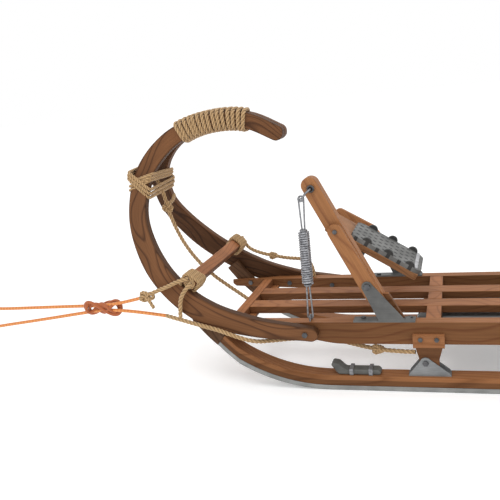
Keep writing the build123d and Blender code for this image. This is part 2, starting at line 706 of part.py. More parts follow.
LEFT_TRACE = [(-806, -287, 243), (-755, -296, 233), (-695, -303, 218), (-629, -306, 202), (-571, -306, 179),
              (-520, -288, 156), (-466, -248, 147), (-402, -213, 141), (-335, -206, 139), (-270, -207, 132),
              (-214, -216, 121), (-152, -236, 116), (-88, -247, 114), (-40, -252, 115)]
RIGHT_TRACE = [(-710, 287, 363), (-694, 272, 327), (-640, 264, 303), (-586, 261, 291), (-528, 256, 281),
               (-476, 250, 279), (-446, 244, 270), (-431, 240, 248), (-429, 240, 210.3)]
BRIDLE_LEAD = [(-718, -282, 362), (-750, -289, 358), (-792, -284, 338), (-833, -281, 323), (-870, -282, 309)]
BRIDLE_DROP = [(-706, -293, 351), (-733, -300, 328), (-750, -302, 289), (-755, -296, 238)]
STAY_ROPE = [(-905, 0, 640), (-888, 0, 595), (-880, 0, 543), (-866, 0, 487), (-833, 0, 408), (-787, 0, 341),
             (-738, 0, 291), (-681, 0, 248), (-621, 0, 204)]
STAY_FORK = [(-880, 6, 548), (-878, 38, 555), (-880, 64, 562), (-886, 90, 572)]
TOW_LINE = [(-889, -280, 301), (-968, -266, 280), (-1046, -252, 267), (-1128, -240, 262), (-1308, -219, 251),
            (-1489, -200, 240), (-1540, -196, 244), (-1585, -195, 243), (-1607, -195, 221), (-1607, -195, 190),
            (-1585, -195, 168), (-1541, -196, 167), (-1500, -200, 176), (-1312, -219, 206), (-1120, -240, 239),
            (-1046, -252, 252), (-965, -266, 254), (-885, -277, 250), (-806, -287, 243)]
KNOTS = {"stay": ((-880, 0, 543), (20, 20, 22)), "bridle": ((-880, -281, 305), (34, 20, 20)),
         "right": ((-586, 261, 291), (17, 13, 13)), "left": ((-152, -236, 116), (20, 14, 14))}
TOW_KNOT = ((-1046, -252, 259.5), (70, 22, 24))


def rope(name, points, diameter):
    """Tube along a route: each arc as large as its two runs allow."""
    v = [Vector(*p) for p in points]
    radii = []
    for a, b, c in zip(v, v[1:], v[2:]):
        half_turn = math.radians((b - a).get_angle(c - b)) / 2
        radii.append(0.45 * min((b - a).length, (c - b).length) / math.tan(half_turn))
    path = FilletPolyline(*v, radius=radii)
    tube = sweep(Plane(origin=path @ 0, z_dir=path % 0) * Circle(diameter / 2), path=path)
    ideal = math.pi * (diameter / 2) ** 2 * path.length
    print(name, "length", round(path.length), "radii", [round(r) for r in radii],
          "volume ratio", round(tube.volume / ideal, 4))
    return tube


def knot(place, sizes):
    return Pos(*place) * scale(Sphere(1), by=sizes)


# ---- All pieces

nodes = {}
for name, make in (("runner", runner), ("runner_shoe", runner_shoe), ("runner_nose", runner_nose),
                   ("bed_rail", bed_rail), ("bow_arm", bow_arm)):
    shape = make()
    if name in ("runner_nose", "bed_rail", "bow_arm"):
        shape -= bow_bolt_holes()
    if name == "bed_rail":
        for x in stations:
            shape -= [pin(x + d, tab_bolt_z(), BOLT_RADIUS + HOLE, 0, BED_WIDTH) for d in bolt_offsets()]
        nodes["right_bed_rail"] = shape - flange_bolts()
        nodes["left_bed_rail"] = left(shape - flange_bolts())
        continue
    nodes["right_" + name] = shape
    nodes["left_" + name] = left(shape)

nodes["right_deck_slat"], nodes["left_deck_slat"] = both(slat())
nodes["front_crossbar"] = front_crossbar()
for i, x in enumerate(stations):
    nodes[f"station_{i + 1}_crossbar"] = crossbar(x + CROSSBAR_OFFSET)
    nodes[f"station_{i + 1}_stanchions"] = both(stanchion(x))
nodes["rear_crossbar"] = crossbar(rail_tail - 15 - CROSSBAR_WIDTH / 2)
nodes["belly_sheet"] = belly_sheet()
nodes["stanchion_brackets"] = [s for x in stations for s in both(stanchion_bracket(x))]
nodes["stanchion_pins"] = [s for x in stations for s in both(stanchion_pin(x))]
nodes["stanchion_bolts"] = [s for x in stations for b in tab_bolts(x) for s in both(b)]

nodes["bow_crossbar"] = bow_crossbar()
nodes["bow_bolts"] = [s for b in bow_bolts() for s in both(b)]
nodes["bow_wrap"] = bow_wrap()
nodes["bow_lashing"] = bow_lashing()
nodes["crossbar_lashings"] = crossbar_lashings()

nodes["right_pivot_bracket"], nodes["left_pivot_bracket"] = both(pivot_bracket())
nodes["bracket_screws"] = [s for b in flange_bolts() for s in both(b)]
nodes["stop_block"] = left(stop_block())
nodes["pedal_post"] = left(pedal_post())
nodes["post_doubler"] = left(post_doubler())
nodes["right_pedal_arm"] = right_pedal_arm()
nodes["cross_rod"] = cross_rod()
nodes["foot_board"] = foot_board()
nodes["tread_pad"] = tread_pad()
nodes["heel_bar"] = heel_bar()
nodes["board_saddles"] = board_saddles()
nodes["pivot_bolts"] = pivot_bolts()
nodes["doubler_bolt"] = doubler_bolt()
nodes["post_eyelet"] = left(post_eyelet())
nodes["spring_hook"] = left(spring_hook())
nodes["spring_upper"] = left(spring_upper())
nodes["spring_coil"] = left(spring_coil())
nodes["spring_lower"] = left(spring_lower())
nodes["rail_eye"] = left(rail_eye())
nodes["runner_grip"] = left(runner_grip())
nodes["grip_straps"] = [left(s) for s in grip_straps()]

nodes["left_trace"] = rope("left_trace", LEFT_TRACE, ROPE)
nodes["right_trace"] = rope("right_trace", RIGHT_TRACE, ROPE)
nodes["bridle_lead"] = rope("bridle_lead", BRIDLE_LEAD, ROPE)
nodes["bridle_drop"] = rope("bridle_drop", BRIDLE_DROP, ROPE)
nodes["stay_rope"] = rope("stay_rope", STAY_ROPE, ROPE)
nodes["stay_fork"] = rope("stay_fork", STAY_FORK, ROPE)
nodes["tow_rope"] = rope("tow_rope", TOW_LINE, TOW_ROPE)
nodes["tow_knot"] = knot(*TOW_KNOT)
nodes["jute_knots"] = [knot(*k) for k in KNOTS.values()]

ROPES = ("left_trace", "right_trace", "bridle_lead", "bridle_drop", "stay_rope", "stay_fork", "tow_rope",
         "tow_knot", "jute_knots")

os.makedirs("parts", exist_ok=True)
solids = {}
for name, shape in nodes.items():
    pieces = shape if isinstance(shape, list) else [shape]
    solids[name] = [s for piece in pieces for s in piece.solids()]
box = Compound([s for name, ss in solids.items() if name not in ROPES for s in ss]).bounding_box()
middle = (box.min.X + box.max.X) / 2
print("origin at X", round(middle, 3), "sled", [round(v) for v in box.size])
for name, ss in solids.items():
    moved = [Pos(-middle, 0, 0) * s for s in ss]
    export_step(moved[0] if len(moved) == 1 else Compound(moved), f"parts/{name}.step")
print(len(nodes), "nodes")
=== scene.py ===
import json
import math

import bmesh
import bpy
import numpy as np
from mathutils import Matrix, Vector

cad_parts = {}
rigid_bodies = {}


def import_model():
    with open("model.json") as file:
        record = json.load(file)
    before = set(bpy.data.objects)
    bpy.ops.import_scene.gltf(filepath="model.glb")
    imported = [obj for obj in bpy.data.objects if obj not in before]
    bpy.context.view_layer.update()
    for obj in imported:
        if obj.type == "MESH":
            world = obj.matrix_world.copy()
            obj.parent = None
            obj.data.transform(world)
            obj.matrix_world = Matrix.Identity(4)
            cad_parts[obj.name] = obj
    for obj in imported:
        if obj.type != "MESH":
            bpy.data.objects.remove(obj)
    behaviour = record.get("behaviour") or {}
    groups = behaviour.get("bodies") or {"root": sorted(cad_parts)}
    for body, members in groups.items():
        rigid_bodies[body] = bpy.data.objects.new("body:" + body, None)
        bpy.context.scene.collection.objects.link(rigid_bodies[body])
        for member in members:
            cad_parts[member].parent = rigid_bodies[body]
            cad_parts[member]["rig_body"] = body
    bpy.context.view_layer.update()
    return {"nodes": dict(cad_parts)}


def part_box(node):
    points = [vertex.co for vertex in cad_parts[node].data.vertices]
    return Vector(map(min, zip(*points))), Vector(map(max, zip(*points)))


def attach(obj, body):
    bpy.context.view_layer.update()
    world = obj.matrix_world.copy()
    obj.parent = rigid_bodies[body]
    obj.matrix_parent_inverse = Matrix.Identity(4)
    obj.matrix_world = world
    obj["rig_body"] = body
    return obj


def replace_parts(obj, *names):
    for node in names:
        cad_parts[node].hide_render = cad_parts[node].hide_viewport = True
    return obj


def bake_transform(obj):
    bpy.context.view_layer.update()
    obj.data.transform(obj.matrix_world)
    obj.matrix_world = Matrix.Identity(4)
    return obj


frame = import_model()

MM = 0.001

# Sizes below are drawn in millimetres from the front stanchions, on the ground, as the part is; drawn() puts
# them in the frame.
low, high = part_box("station_1_stanchions")
DRAWN_ORIGIN = np.array([(low.x + high.x) / 2, 0.0, 0.0])


def drawn(points):
    """Points in drawing millimetres to metres in the frame."""
    return np.asarray(points, float) * MM + DRAWN_ORIGIN


# ---------------------------------------------------------------- camera, floor and light

CAMERA_PLACE = (92.4, -2238.8, 929.9)
CAMERA_YAW, CAMERA_PITCH, CAMERA_ROLL = 0.298103, 0.230869, -0.101447    # radians: to the left, down, tilt
LENS, SENSOR = 50.4, 36.0    # mm


def set_camera():
    """Camera low beside the sled's left, turned towards the bow."""
    cy, sy = math.cos(CAMERA_YAW), math.sin(CAMERA_YAW)
    cp, sp = math.cos(CAMERA_PITCH), math.sin(CAMERA_PITCH)
    forward = np.array([-sy * cp, cy * cp, -sp])
    level = np.array([cy, sy, 0.0])
    upright = np.cross(level, forward)
    c, s = math.cos(CAMERA_ROLL), math.sin(CAMERA_ROLL)
    right, up = c * level + s * upright, c * upright - s * level
    data = bpy.data.cameras.new("camera")
    data.lens, data.sensor_width = LENS, SENSOR
    obj = bpy.data.objects.new("camera", data)
    place = drawn([CAMERA_PLACE])[0]
    obj.matrix_world = Matrix([[*row, p] for row, p in zip(np.column_stack([right, up, -forward]), place)]
                              + [[0, 0, 0, 1]])
    bpy.context.scene.collection.objects.link(obj)
    bpy.context.scene.camera = obj


def srgb(code, alpha=1.0):
    """Hex colour as linear values."""
    v = [int(code[i:i + 2], 16) / 255 for i in (1, 3, 5)]
    return [*(x / 12.92 if x <= 0.04045 else ((x + 0.055) / 1.055) ** 2.4 for x in v), alpha]


def add(tree, kind, inputs=None, stops=None, **settings):
    """Adds one node. inputs are its sockets' values or the sockets linked to them, stops a ramp's colours."""
    node = tree.nodes.new("ShaderNode" + kind)
    for key, value in settings.items():
        setattr(node, key, value)
    for key, value in (inputs or {}).items():
        if isinstance(value, bpy.types.NodeSocket):
            tree.links.new(value, node.inputs[key])
        else:
            node.inputs[key].default_value = value
    if stops:
        ramp = node.color_ramp.elements
        while len(ramp) < len(stops):
            ramp.new(0.5)
        for element, (place, colour) in zip(ramp, stops):
            element.position, element.color = place, srgb(colour)
    return node


def blank(name):
    """New material with an empty tree."""
    mat = bpy.data.materials.new(name)
    mat.use_nodes = True
    mat.node_tree.nodes.clear()
    return mat, mat.node_tree


def close(tree, sockets, bump=None, bump_mm=0.3):
    """Principled shader with its sockets, an optional bump, and the output."""
    if bump is not None:
        relief = add(tree, "Bump", {"Height": bump, "Strength": 1.0, "Distance": bump_mm * MM})
        sockets = {**sockets, "Normal": relief.outputs[0]}
    shader = add(tree, "BsdfPrincipled", sockets)
    add(tree, "OutputMaterial", {"Surface": shader.outputs[0]})


FLOOR_HALF = 30.0
LIGHTS = (("key", (-1.2, -1.9, 3.6), (-0.2, 0, 0.3), 1.4, 30),    # name, place, aim, size in metres, watts
          ("fill", (2.2, -2.6, 1.6), (0.1, 0, 0.3), 2.2, 5),
          ("back", (0.4, 2.4, 3.2), (0, 0, 0.3), 1.8, 12))


def set_stage():
    """Pale matt floor, white surroundings and three large soft lights."""
    mat, tree = blank("studio_floor")
    close(tree, {"Base Color": srgb("#f2f2f2"), "Roughness": 1.0, "Specular IOR Level": 0.0,
                 "Emission Color": srgb("#ffffff"), "Emission Strength": 0.25})
    mesh = bpy.data.meshes.new("studio_floor")
    corners = [(x * FLOOR_HALF, y * FLOOR_HALF, 0) for x, y in ((-1, -1), (1, -1), (1, 1), (-1, 1))]
    mesh.from_pydata(corners, [], [(0, 1, 2, 3)])
    mesh.materials.append(mat)
    floor = bpy.data.objects.new("studio_floor", mesh)
    bpy.context.scene.collection.objects.link(floor)
    world = bpy.data.worlds.new("studio")
    world.use_nodes = True
    around = world.node_tree.nodes["Background"].inputs
    around[0].default_value, around[1].default_value = srgb("#ffffff"), 1.0
    bpy.context.scene.world = world
    bpy.context.scene.view_settings.view_transform = "Standard"
    for name, place, aim, size, power in LIGHTS:
        data = bpy.data.lights.new(name, "AREA")
        data.size, data.energy = size, power
        lamp = bpy.data.objects.new(name, data)
        lamp.location = place
        lamp.rotation_euler = (Vector(aim) - Vector(place)).to_track_quat("-Z", "Y").to_euler()
        bpy.context.scene.collection.objects.link(lamp)


set_camera()
set_stage()

# ---------------------------------------------------------------- materials

RING_PERIOD = 0.314    # metres from one ring to the next of a wave texture at scale 1
SWELL_EVERY = 0.33     # metres from one swelling of a tree's heart to the next, which draws the grain's ovals
PORE_DEPTH = 0.14      # how much darker an open pore is than the wood round it


def oiled_wood(name, early, late, ring_mm, tilt=(0.0, 0.035, 0.05), core_mm=(-60, 45), turn=0.0, laid=False,
               edge=None, seed=0.0, painted_top_light=1.75, swell_mm=9, above=None):
    """Ash, planed and oiled: growth rings as nested arches and ovals along the board, open pores as streaks, a
    low satin shine; faces turned up are painted paler than the sides by the top-light factor, a painted light.
    Rings are cylinders round the tree's heart, which lies core_mm beside the board, tilt out of line with it, and
    swells by swell_mm. laid boards read their own length, width and depth; others read Object coordinates, turned
    about Y. edge is painted shade: the wood darkens to that factor where the piece's edge attribute is 1. above
    is (a height's function, mm, factor): the wood is that much paler over that height. Streaks are drawn 3 mm
    wide, coarser than real pores, so that they show."""
    mat, tree = blank(name)
    if laid:
        source = add(tree, "Attribute", attribute_name="board").outputs["Vector"]
    else:
        place = add(tree, "TexCoord").outputs["Object"]
        source = add(tree, "Mapping", {"Vector": place, "Rotation": (0, turn, 0)}).outputs[0]
    heart = add(tree, "Mapping", {"Vector": source, "Rotation": tilt,
                                  "Location": (seed, core_mm[0] * MM, core_mm[1] * MM)}).outputs[0]
    slow = add(tree, "Mapping", {"Vector": heart, "Scale": (1.6, 9, 9)}).outputs[0]
    wander = add(tree, "TexNoise", {"Vector": slow, "Scale": 1.0, "Detail": 2.0}).outputs["Color"]
    centred = add(tree, "VectorMath", {0: wander, 1: (0.5, 0.5, 0.5)}, operation="SUBTRACT").outputs[0]
    drift = add(tree, "VectorMath", {0: centred, "Scale": 0.05}, operation="SCALE").outputs[0]
    along = add(tree, "SeparateXYZ", {0: heart}).outputs[0]
    period = add(tree, "Math", {0: along, 1: 2 * math.pi / SWELL_EVERY}, operation="MULTIPLY").outputs[0]
    wave = add(tree, "Math", {0: period}, operation="SINE").outputs[0]
    swell = add(tree, "Math", {0: wave, 1: swell_mm * MM}, operation="MULTIPLY").outputs[0]
    lift = add(tree, "CombineXYZ", {2: swell}).outputs[0]
    heart = add(tree, "VectorMath", {0: heart, 1: lift}, operation="ADD").outputs[0]
    bent = add(tree, "VectorMath", {0: heart, 1: drift}, operation="ADD").outputs[0]
    rings = add(tree, "TexWave", {"Vector": bent, "Scale": RING_PERIOD / (ring_mm * MM), "Distortion": 0.0},
                wave_type="RINGS", rings_direction="X", wave_profile="SAW").outputs["Fac"]
    tone = add(tree, "ValToRGB", {"Fac": rings},
               stops=[(0.0, early), (0.62, early), (0.86, late), (1.0, early)])
    fine = add(tree, "Mapping", {"Vector": source, "Scale": (9, 330, 330)}).outputs[0]
    pores = add(tree, "TexNoise", {"Vector": fine, "Scale": 1.0, "Detail": 3.0}).outputs["Fac"]
    patch = add(tree, "Mapping", {"Vector": source, "Scale": (2.5, 12, 12)}).outputs[0]
    cloud = add(tree, "TexNoise", {"Vector": patch, "Scale": 1.0, "Detail": 1.0}).outputs["Fac"]
    streak = add(tree, "MapRange", {"Value": pores, "From Min": 0.35, "From Max": 0.65,
                                    "To Min": 1.0 - PORE_DEPTH, "To Max": 1.0 + PORE_DEPTH / 2}).outputs[0]
    shade = add(tree, "MapRange", {"Value": cloud, "From Min": 0.3, "From Max": 0.7,
                                   "To Min": 0.86, "To Max": 1.12}).outputs[0]
    both = add(tree, "Math", {0: streak, 1: shade}, operation="MULTIPLY").outputs[0]
    # Painted light: faces turned up are painted paler than the sides, by the top-light factor.
    facing = add(tree, "SeparateXYZ", {0: add(tree, "NewGeometry").outputs["Normal"]}).outputs[2]
    pale = add(tree, "MapRange", {"Value": facing, "From Min": 0.45, "From Max": 0.85,
                                  "To Min": 1.0, "To Max": painted_top_light}).outputs[0]
    both = add(tree, "Math", {0: both, 1: pale}, operation="MULTIPLY").outputs[0]
    if above:
        height_of, line_mm, paler = above
        level = height_of(tree, add(tree, "TexCoord").outputs["Object"])
        upper = add(tree, "MapRange", {"Value": level, "From Min": line_mm * MM,
                                       "From Max": (line_mm + 1) * MM, "To Min": 1.0, "To Max": paler}).outputs[0]
        both = add(tree, "Math", {0: both, 1: upper}, operation="MULTIPLY").outputs[0]
    # Painted shade: the wood darkens where the piece's edge attribute is 1.
    if edge:
        side = add(tree, "Attribute", attribute_name="edge").outputs["Fac"]
        dim = add(tree, "MapRange", {"Value": side, "To Min": 1.0, "To Max": edge}).outputs[0]
        both = add(tree, "Math", {0: both, 1: dim}, operation="MULTIPLY").outputs[0]
    colour = add(tree, "VectorMath", {0: tone.outputs[0], "Scale": both}, operation="SCALE").outputs[0]
    rough = add(tree, "MapRange", {"Value": pores, "To Min": 0.62, "To Max": 0.46}).outputs[0]
    height = add(tree, "Math", {0: pores, 1: rings}, operation="ADD").outputs[0]
    close(tree, {"Base Color": colour, "Roughness": rough, "Specular IOR Level": 0.12}, height, 0.25)
    return mat


def steel(name, colour, dark, rough, metallic, grit_mm, scratch=0.0):
    """Steel, bare, painted or zinc coated: cloudy tone, dull shine, fine rubbed marks along X."""
    mat, tree = blank(name)
    place = add(tree, "TexCoord").outputs["Object"]
    cloud = add(tree, "TexNoise", {"Vector": place, "Scale": 1 / (grit_mm * 8 * MM),
                                   "Detail": 4.0}).outputs["Fac"]
    long = add(tree, "Mapping", {"Vector": place, "Scale": (18, 420, 420)}).outputs[0]
    rubbed = add(tree, "TexNoise", {"Vector": long, "Scale": 1.0, "Detail": 2.0}).outputs["Fac"]
    tone = add(tree, "ValToRGB", {"Fac": cloud}, stops=[(0.35, dark), (0.65, colour)])
    lift = add(tree, "MapRange", {"Value": rubbed, "From Min": 0.4, "From Max": 0.7,
                                  "To Min": 1.0, "To Max": 1.0 + scratch}).outputs[0]
    shade = add(tree, "VectorMath", {0: tone.outputs[0], "Scale": lift}, operation="SCALE").outputs[0]
    dull = add(tree, "MapRange", {"Value": cloud, "To Min": rough + 0.12, "To Max": rough - 0.08}).outputs[0]
    close(tree, {"Base Color": shade, "Roughness": dull, "Metallic": metallic}, cloud, 0.08)
    return mat


RUBBER_GRIT = 1.5    # mm, coarser than a mould's real grain, so that it shows


def rubber(name, colour, dusty):
    """Moulded rubber: matt, fine-grained, with pale dust in patches."""
    mat, tree = blank(name)
    place = add(tree, "TexCoord").outputs["Object"]
    grain = add(tree, "TexNoise", {"Vector": place, "Scale": 1 / (RUBBER_GRIT * MM),
                                   "Detail": 2.0}).outputs["Fac"]
    cloud = add(tree, "TexNoise", {"Vector": place, "Scale": 22.0, "Detail": 3.0}).outputs["Fac"]
    tone = add(tree, "ValToRGB", {"Fac": cloud}, stops=[(0.35, colour), (0.7, dusty)])
    rough = add(tree, "MapRange", {"Value": grain, "To Min": 0.55, "To Max": 0.8}).outputs[0]
    close(tree, {"Base Color": tone.outputs[0], "Roughness": rough}, grain, 0.25)
    return mat


def laid_fibre(name, painted_groove_shade, body, crown_wear_and_highlight, fibre_mm, hairs=0.25, rough=0.9):
    """Yarn of a rope: fine fibres along the strand, painted shade in the grooves between strands, paler on the
    crowns by wear and a painted highlight. Reads the rope's own coordinates, in metres along and across the
    strand, and how far out it stands."""
    mat, tree = blank(name)
    place = add(tree, "Attribute", attribute_name="board").outputs["Vector"]
    out = add(tree, "Attribute", attribute_name="edge").outputs["Fac"]
    per_metre = 1 / (fibre_mm * MM)
    fine = add(tree, "Mapping", {"Vector": place, "Scale": (140, per_metre, per_metre)}).outputs[0]
    fibre = add(tree, "TexNoise", {"Vector": fine, "Scale": 1.0, "Detail": 3.0}).outputs["Fac"]
    # Painted shade and highlight: dark in the grooves, pale on the crowns, by how far out the surface stands.
    tone = add(tree, "ValToRGB", {"Fac": out}, stops=[(0.15, painted_groove_shade), (0.6, body), (1.0, crown_wear_and_highlight)])
    vary = add(tree, "MapRange", {"Value": fibre, "From Min": 0.3, "From Max": 0.7,
                                  "To Min": 1.0 - hairs, "To Max": 1.0 + hairs}).outputs[0]
    colour = add(tree, "VectorMath", {0: tone.outputs[0], "Scale": vary}, operation="SCALE").outputs[0]
    close(tree, {"Base Color": colour, "Roughness": rough, "Sheen Weight": 0.25, "Sheen Roughness": 0.5},
          fibre, 0.5)
    return mat


def sheet_plastic(name, colour, scuffed):
    """Polyethylene sheet: even grey, faintly cloudy, scuffed lengthwise."""
    mat, tree = blank(name)
    place = add(tree, "TexCoord").outputs["Object"]
    long = add(tree, "Mapping", {"Vector": place, "Scale": (4, 120, 120)}).outputs[0]
    scuff = add(tree, "TexNoise", {"Vector": long, "Scale": 1.0, "Detail": 4.0}).outputs["Fac"]
    tone = add(tree, "ValToRGB", {"Fac": scuff}, stops=[(0.4, colour), (0.75, scuffed)])
    rough = add(tree, "MapRange", {"Value": scuff, "To Min": 0.35, "To Max": 0.6}).outputs[0]
    close(tree, {"Base Color": tone.outputs[0], "Roughness": rough}, scuff, 0.1)
    return mat


POST_LEAN = math.radians(26.6)
BOARD_SLOPE = math.radians(32.0)
PIVOT = (-170.0, 320.0)    # the pedal's bolts, X and Z
BOARD_MIDDLE = (33.0, 28.0)    # from the pivot
BOARD_THICK, PAD_THICK = 20.0, 13.0
# how high the tread's face lies once Object coordinates are turned to the board's slope: x sin a + z cos a
TREAD_FACE = ((PIVOT[0] + BOARD_MIDDLE[0] + DRAWN_ORIGIN[0] / MM) * math.sin(BOARD_SLOPE)
              + (PIVOT[1] + BOARD_MIDDLE[1]) * math.cos(BOARD_SLOPE) + BOARD_THICK + PAD_THICK)
DIMPLE_PITCH = 0.038
LUG_SHADE = (0.0015, 0.003)    # metres over the face where a lug's darker tone begins and is full


def tread_rubber(name):
    """Moulded rubber tread: matt grey, rows of dimples pressed into its face and painted dark as their shade, its
    lugs darker. Dimples are where cos kx cos ky is over 0.42, in the foot board's own directions: every 38 mm
    both ways, and halfway between. Lugs are whatever stands above the face."""
    mat, tree = blank(name)
    place = add(tree, "TexCoord").outputs["Object"]
    board = add(tree, "Mapping", {"Vector": place, "Rotation": (0, -BOARD_SLOPE, 0)}).outputs[0]
    x, y, z = add(tree, "SeparateXYZ", {0: board}).outputs[:]
    dots = []
    for axis in (x, y):
        phase = add(tree, "Math", {0: axis, 1: 2 * math.pi / DIMPLE_PITCH}, operation="MULTIPLY").outputs[0]
        dots.append(add(tree, "Math", {0: phase}, operation="COSINE").outputs[0])
    product = add(tree, "Math", {0: dots[0], 1: dots[1]}, operation="MULTIPLY").outputs[0]
    hollow = add(tree, "MapRange", {"Value": product, "From Min": 0.42, "From Max": 0.6}).outputs[0]
    begins, full = (TREAD_FACE * MM + rise for rise in LUG_SHADE)
    lug = add(tree, "MapRange", {"Value": z, "From Min": begins, "From Max": full}).outputs[0]
    cloud = add(tree, "TexNoise", {"Vector": place, "Scale": 16.0, "Detail": 3.0}).outputs["Fac"]
    tone = add(tree, "ValToRGB", {"Fac": cloud}, stops=[(0.35, "#5d5d5b"), (0.65, "#767674")])
    # Painted shade in the dimples, and the lugs' darker tone.
    dark = add(tree, "Math", {0: hollow, 1: lug}, operation="MAXIMUM").outputs[0]
    dim = add(tree, "MapRange", {"Value": dark, "To Min": 1.0, "To Max": 0.22}).outputs[0]
    colour = add(tree, "VectorMath", {0: tone.outputs[0], "Scale": dim}, operation="SCALE").outputs[0]
    pressed = add(tree, "Math", {0: 1.0, 1: hollow}, operation="SUBTRACT").outputs[0]
    close(tree, {"Base Color": colour, "Roughness": 0.7}, pressed, 1.2)
    return mat


TOE_X, TOE_RADIUS = -292.0, 560.0
PLY_LINE = 32.5    # height of the joint between the runner's dark lower ply and its pale upper one


def plain_height(tree, place):
    """Height over the ground."""
    return add(tree, "SeparateXYZ", {0: place}).outputs[2]


def runner_height(tree, place):
    """Height over the shoe's lower face, carried round the toe: R - |(min(x - toe, 0), z - R)|."""
    x, _, z = add(tree, "SeparateXYZ", {0: place}).outputs[:]
    past = add(tree, "Math", {0: x, 1: -float(DRAWN_ORIGIN[0] + TOE_X * MM)}, operation="ADD").outputs[0]
    past = add(tree, "Math", {0: past, 1: 0.0}, operation="MINIMUM").outputs[0]
    below = add(tree, "Math", {0: z, 1: TOE_RADIUS * MM}, operation="SUBTRACT").outputs[0]
    arm = add(tree, "CombineXYZ", {0: past, 2: below}).outputs[0]
    reach = add(tree, "VectorMath", {0: arm}, operation="LENGTH").outputs["Value"]
    return add(tree, "Math", {0: TOE_RADIUS * MM, 1: reach}, operation="SUBTRACT").outputs[0]


# Steam-bent ash of the bow: dark oiled, wide figure that follows the bend, painted nearly black as shade where
# the edge attribute marks it.
BENT_ASH = oiled_wood("oiled_ash_bow", "#6f4a2f", "#4a2f1e", 10, tilt=(0, 0.02, 0.03), core_mm=(-4, 6),
                      laid=True, edge=0.5, painted_top_light=1.0, swell_mm=12)
# Bent ash of the runners' noses: the darkest wood, grain running up the nose.
NOSE_ASH = oiled_wood("oiled_ash_nose", "#5f4430", "#4a3323", 12, turn=-math.radians(50), painted_top_light=1.2)
# Rails: straight-grained mid-brown ash, its top painted paler as a painted light from above.
RAIL_ASH = oiled_wood("oiled_ash_rail", "#704a2d", "#613b22", 16, core_mm=(-70, 60), painted_top_light=1.9)
# Runners glued up of two plies: the upper one pale, the lower one dark.
RUNNER_ASH = oiled_wood("laminated_ash_runner", "#69452a", "#593820", 16, core_mm=(-70, 60), painted_top_light=1.25,
                        above=(runner_height, PLY_LINE, 1.85))
# Stanchions: the foot below the rail painted dark as its shade, the tab against the rail paler.
TAB_ASH = oiled_wood("oiled_ash_stanchion", "#6a462c", "#5b3921", 14, core_mm=(-70, 60), painted_top_light=1.3,
                     above=(plain_height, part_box("left_bed_rail")[0].z / MM - 5, 1.8))
# Slats, their tops painted palest as a painted light from above, then the pedal's post and foot board, paler than
# the bed.
SLAT_ASH = oiled_wood("oiled_ash_slat", "#6e482d", "#603c24", 12, core_mm=(30, 40), seed=1.7, painted_top_light=2.1)
POST_ASH = oiled_wood("oiled_ash_post", "#9c6b45", "#87593a", 17, turn=math.pi / 2 + POST_LEAN, seed=0.6,
                      painted_top_light=1.0)
BOARD_ASH = oiled_wood("oiled_ash_foot_board", "#8a6141", "#765135", 12, turn=-BOARD_SLOPE, seed=2.6,
                       painted_top_light=1.3)
# Crossbars: the same ash with its grain across the sled.
CROSS_ASH = oiled_wood("oiled_ash_crossbar", "#744b2f", "#633f26", 14, tilt=(0, 0, math.pi / 2), seed=3.1,
                       painted_top_light=2.0)
# Shoes worn bright by snow; dark paint on the pedal's brackets; dull zinc on stanchion brackets; darker
# bolts; bright drawn wire; oiled spring wire.
SHOE_STEEL = steel("rolled_steel_shoe", "#8f908e", "#7d7e7c", 0.38, 0.6, 6, 0.15)
BRACKET_STEEL = steel("painted_steel_bracket", "#5c5c5a", "#4f4f4e", 0.5, 0.2, 5, 0.2)
PALE_STEEL = steel("zinc_steel_stanchion_bracket", "#828485", "#737576", 0.45, 0.3, 5, 0.2)
BOLT_STEEL = steel("zinc_steel_bolt", "#58585a", "#3c3c3e", 0.4, 0.5, 2, 0.2)
WIRE_STEEL = steel("bright_wire", "#8d8e91", "#6c6d70", 0.32, 0.6, 1, 0.2)
SPRING_STEEL = steel("oiled_spring_steel", "#a2a3a7", "#707175", 0.35, 0.5, 1, 0.2)
# Matt grey rubber underfoot, near black on the grip, and a pale pressed heel bar.
PAD_RUBBER = tread_rubber("moulded_rubber_tread")
GRIP_RUBBER = rubber("moulded_rubber_grip", "#484845", "#63635f")
HEEL_STEEL = steel("pressed_steel_heel_bar", "#b4b4b6", "#929294", 0.4, 0.5, 1.5, 0.1)
# Hairy tan jute; tight, slightly shiny orange polyester; scuffed grey sheet.
# Each rope's first colour is the painted shade in its grooves, its last the crowns' paler tone, wear and painted
# highlight.
JUTE = laid_fibre("laid_jute", "#3d2a19", "#8d7049", "#b8966a", 0.9)
TOW_FIBRE = laid_fibre("braided_polyester_orange", "#7d3213", "#c96f2c", "#e6a152", 1.2, hairs=0.1, rough=0.6)
SHEET = sheet_plastic("polyethylene_sheet", "#787a7a", "#8f9191")

# ---------------------------------------------------------------- mesh making


def rows_of(grid, wrap_rows, wrap_cols):
    """Quads of a grid of points, joined up at its ends if it wraps."""
    r, c = grid.shape[:2]
    index = np.arange(r * c).reshape(r, c)
    if wrap_rows:
        index = np.vstack([index, index[:1]])
    if wrap_cols:
        index = np.hstack([index, index[:, :1]])
    return np.stack([index[:-1, :-1], index[:-1, 1:], index[1:, 1:], index[1:, :-1]], -1).reshape(-1, 4)


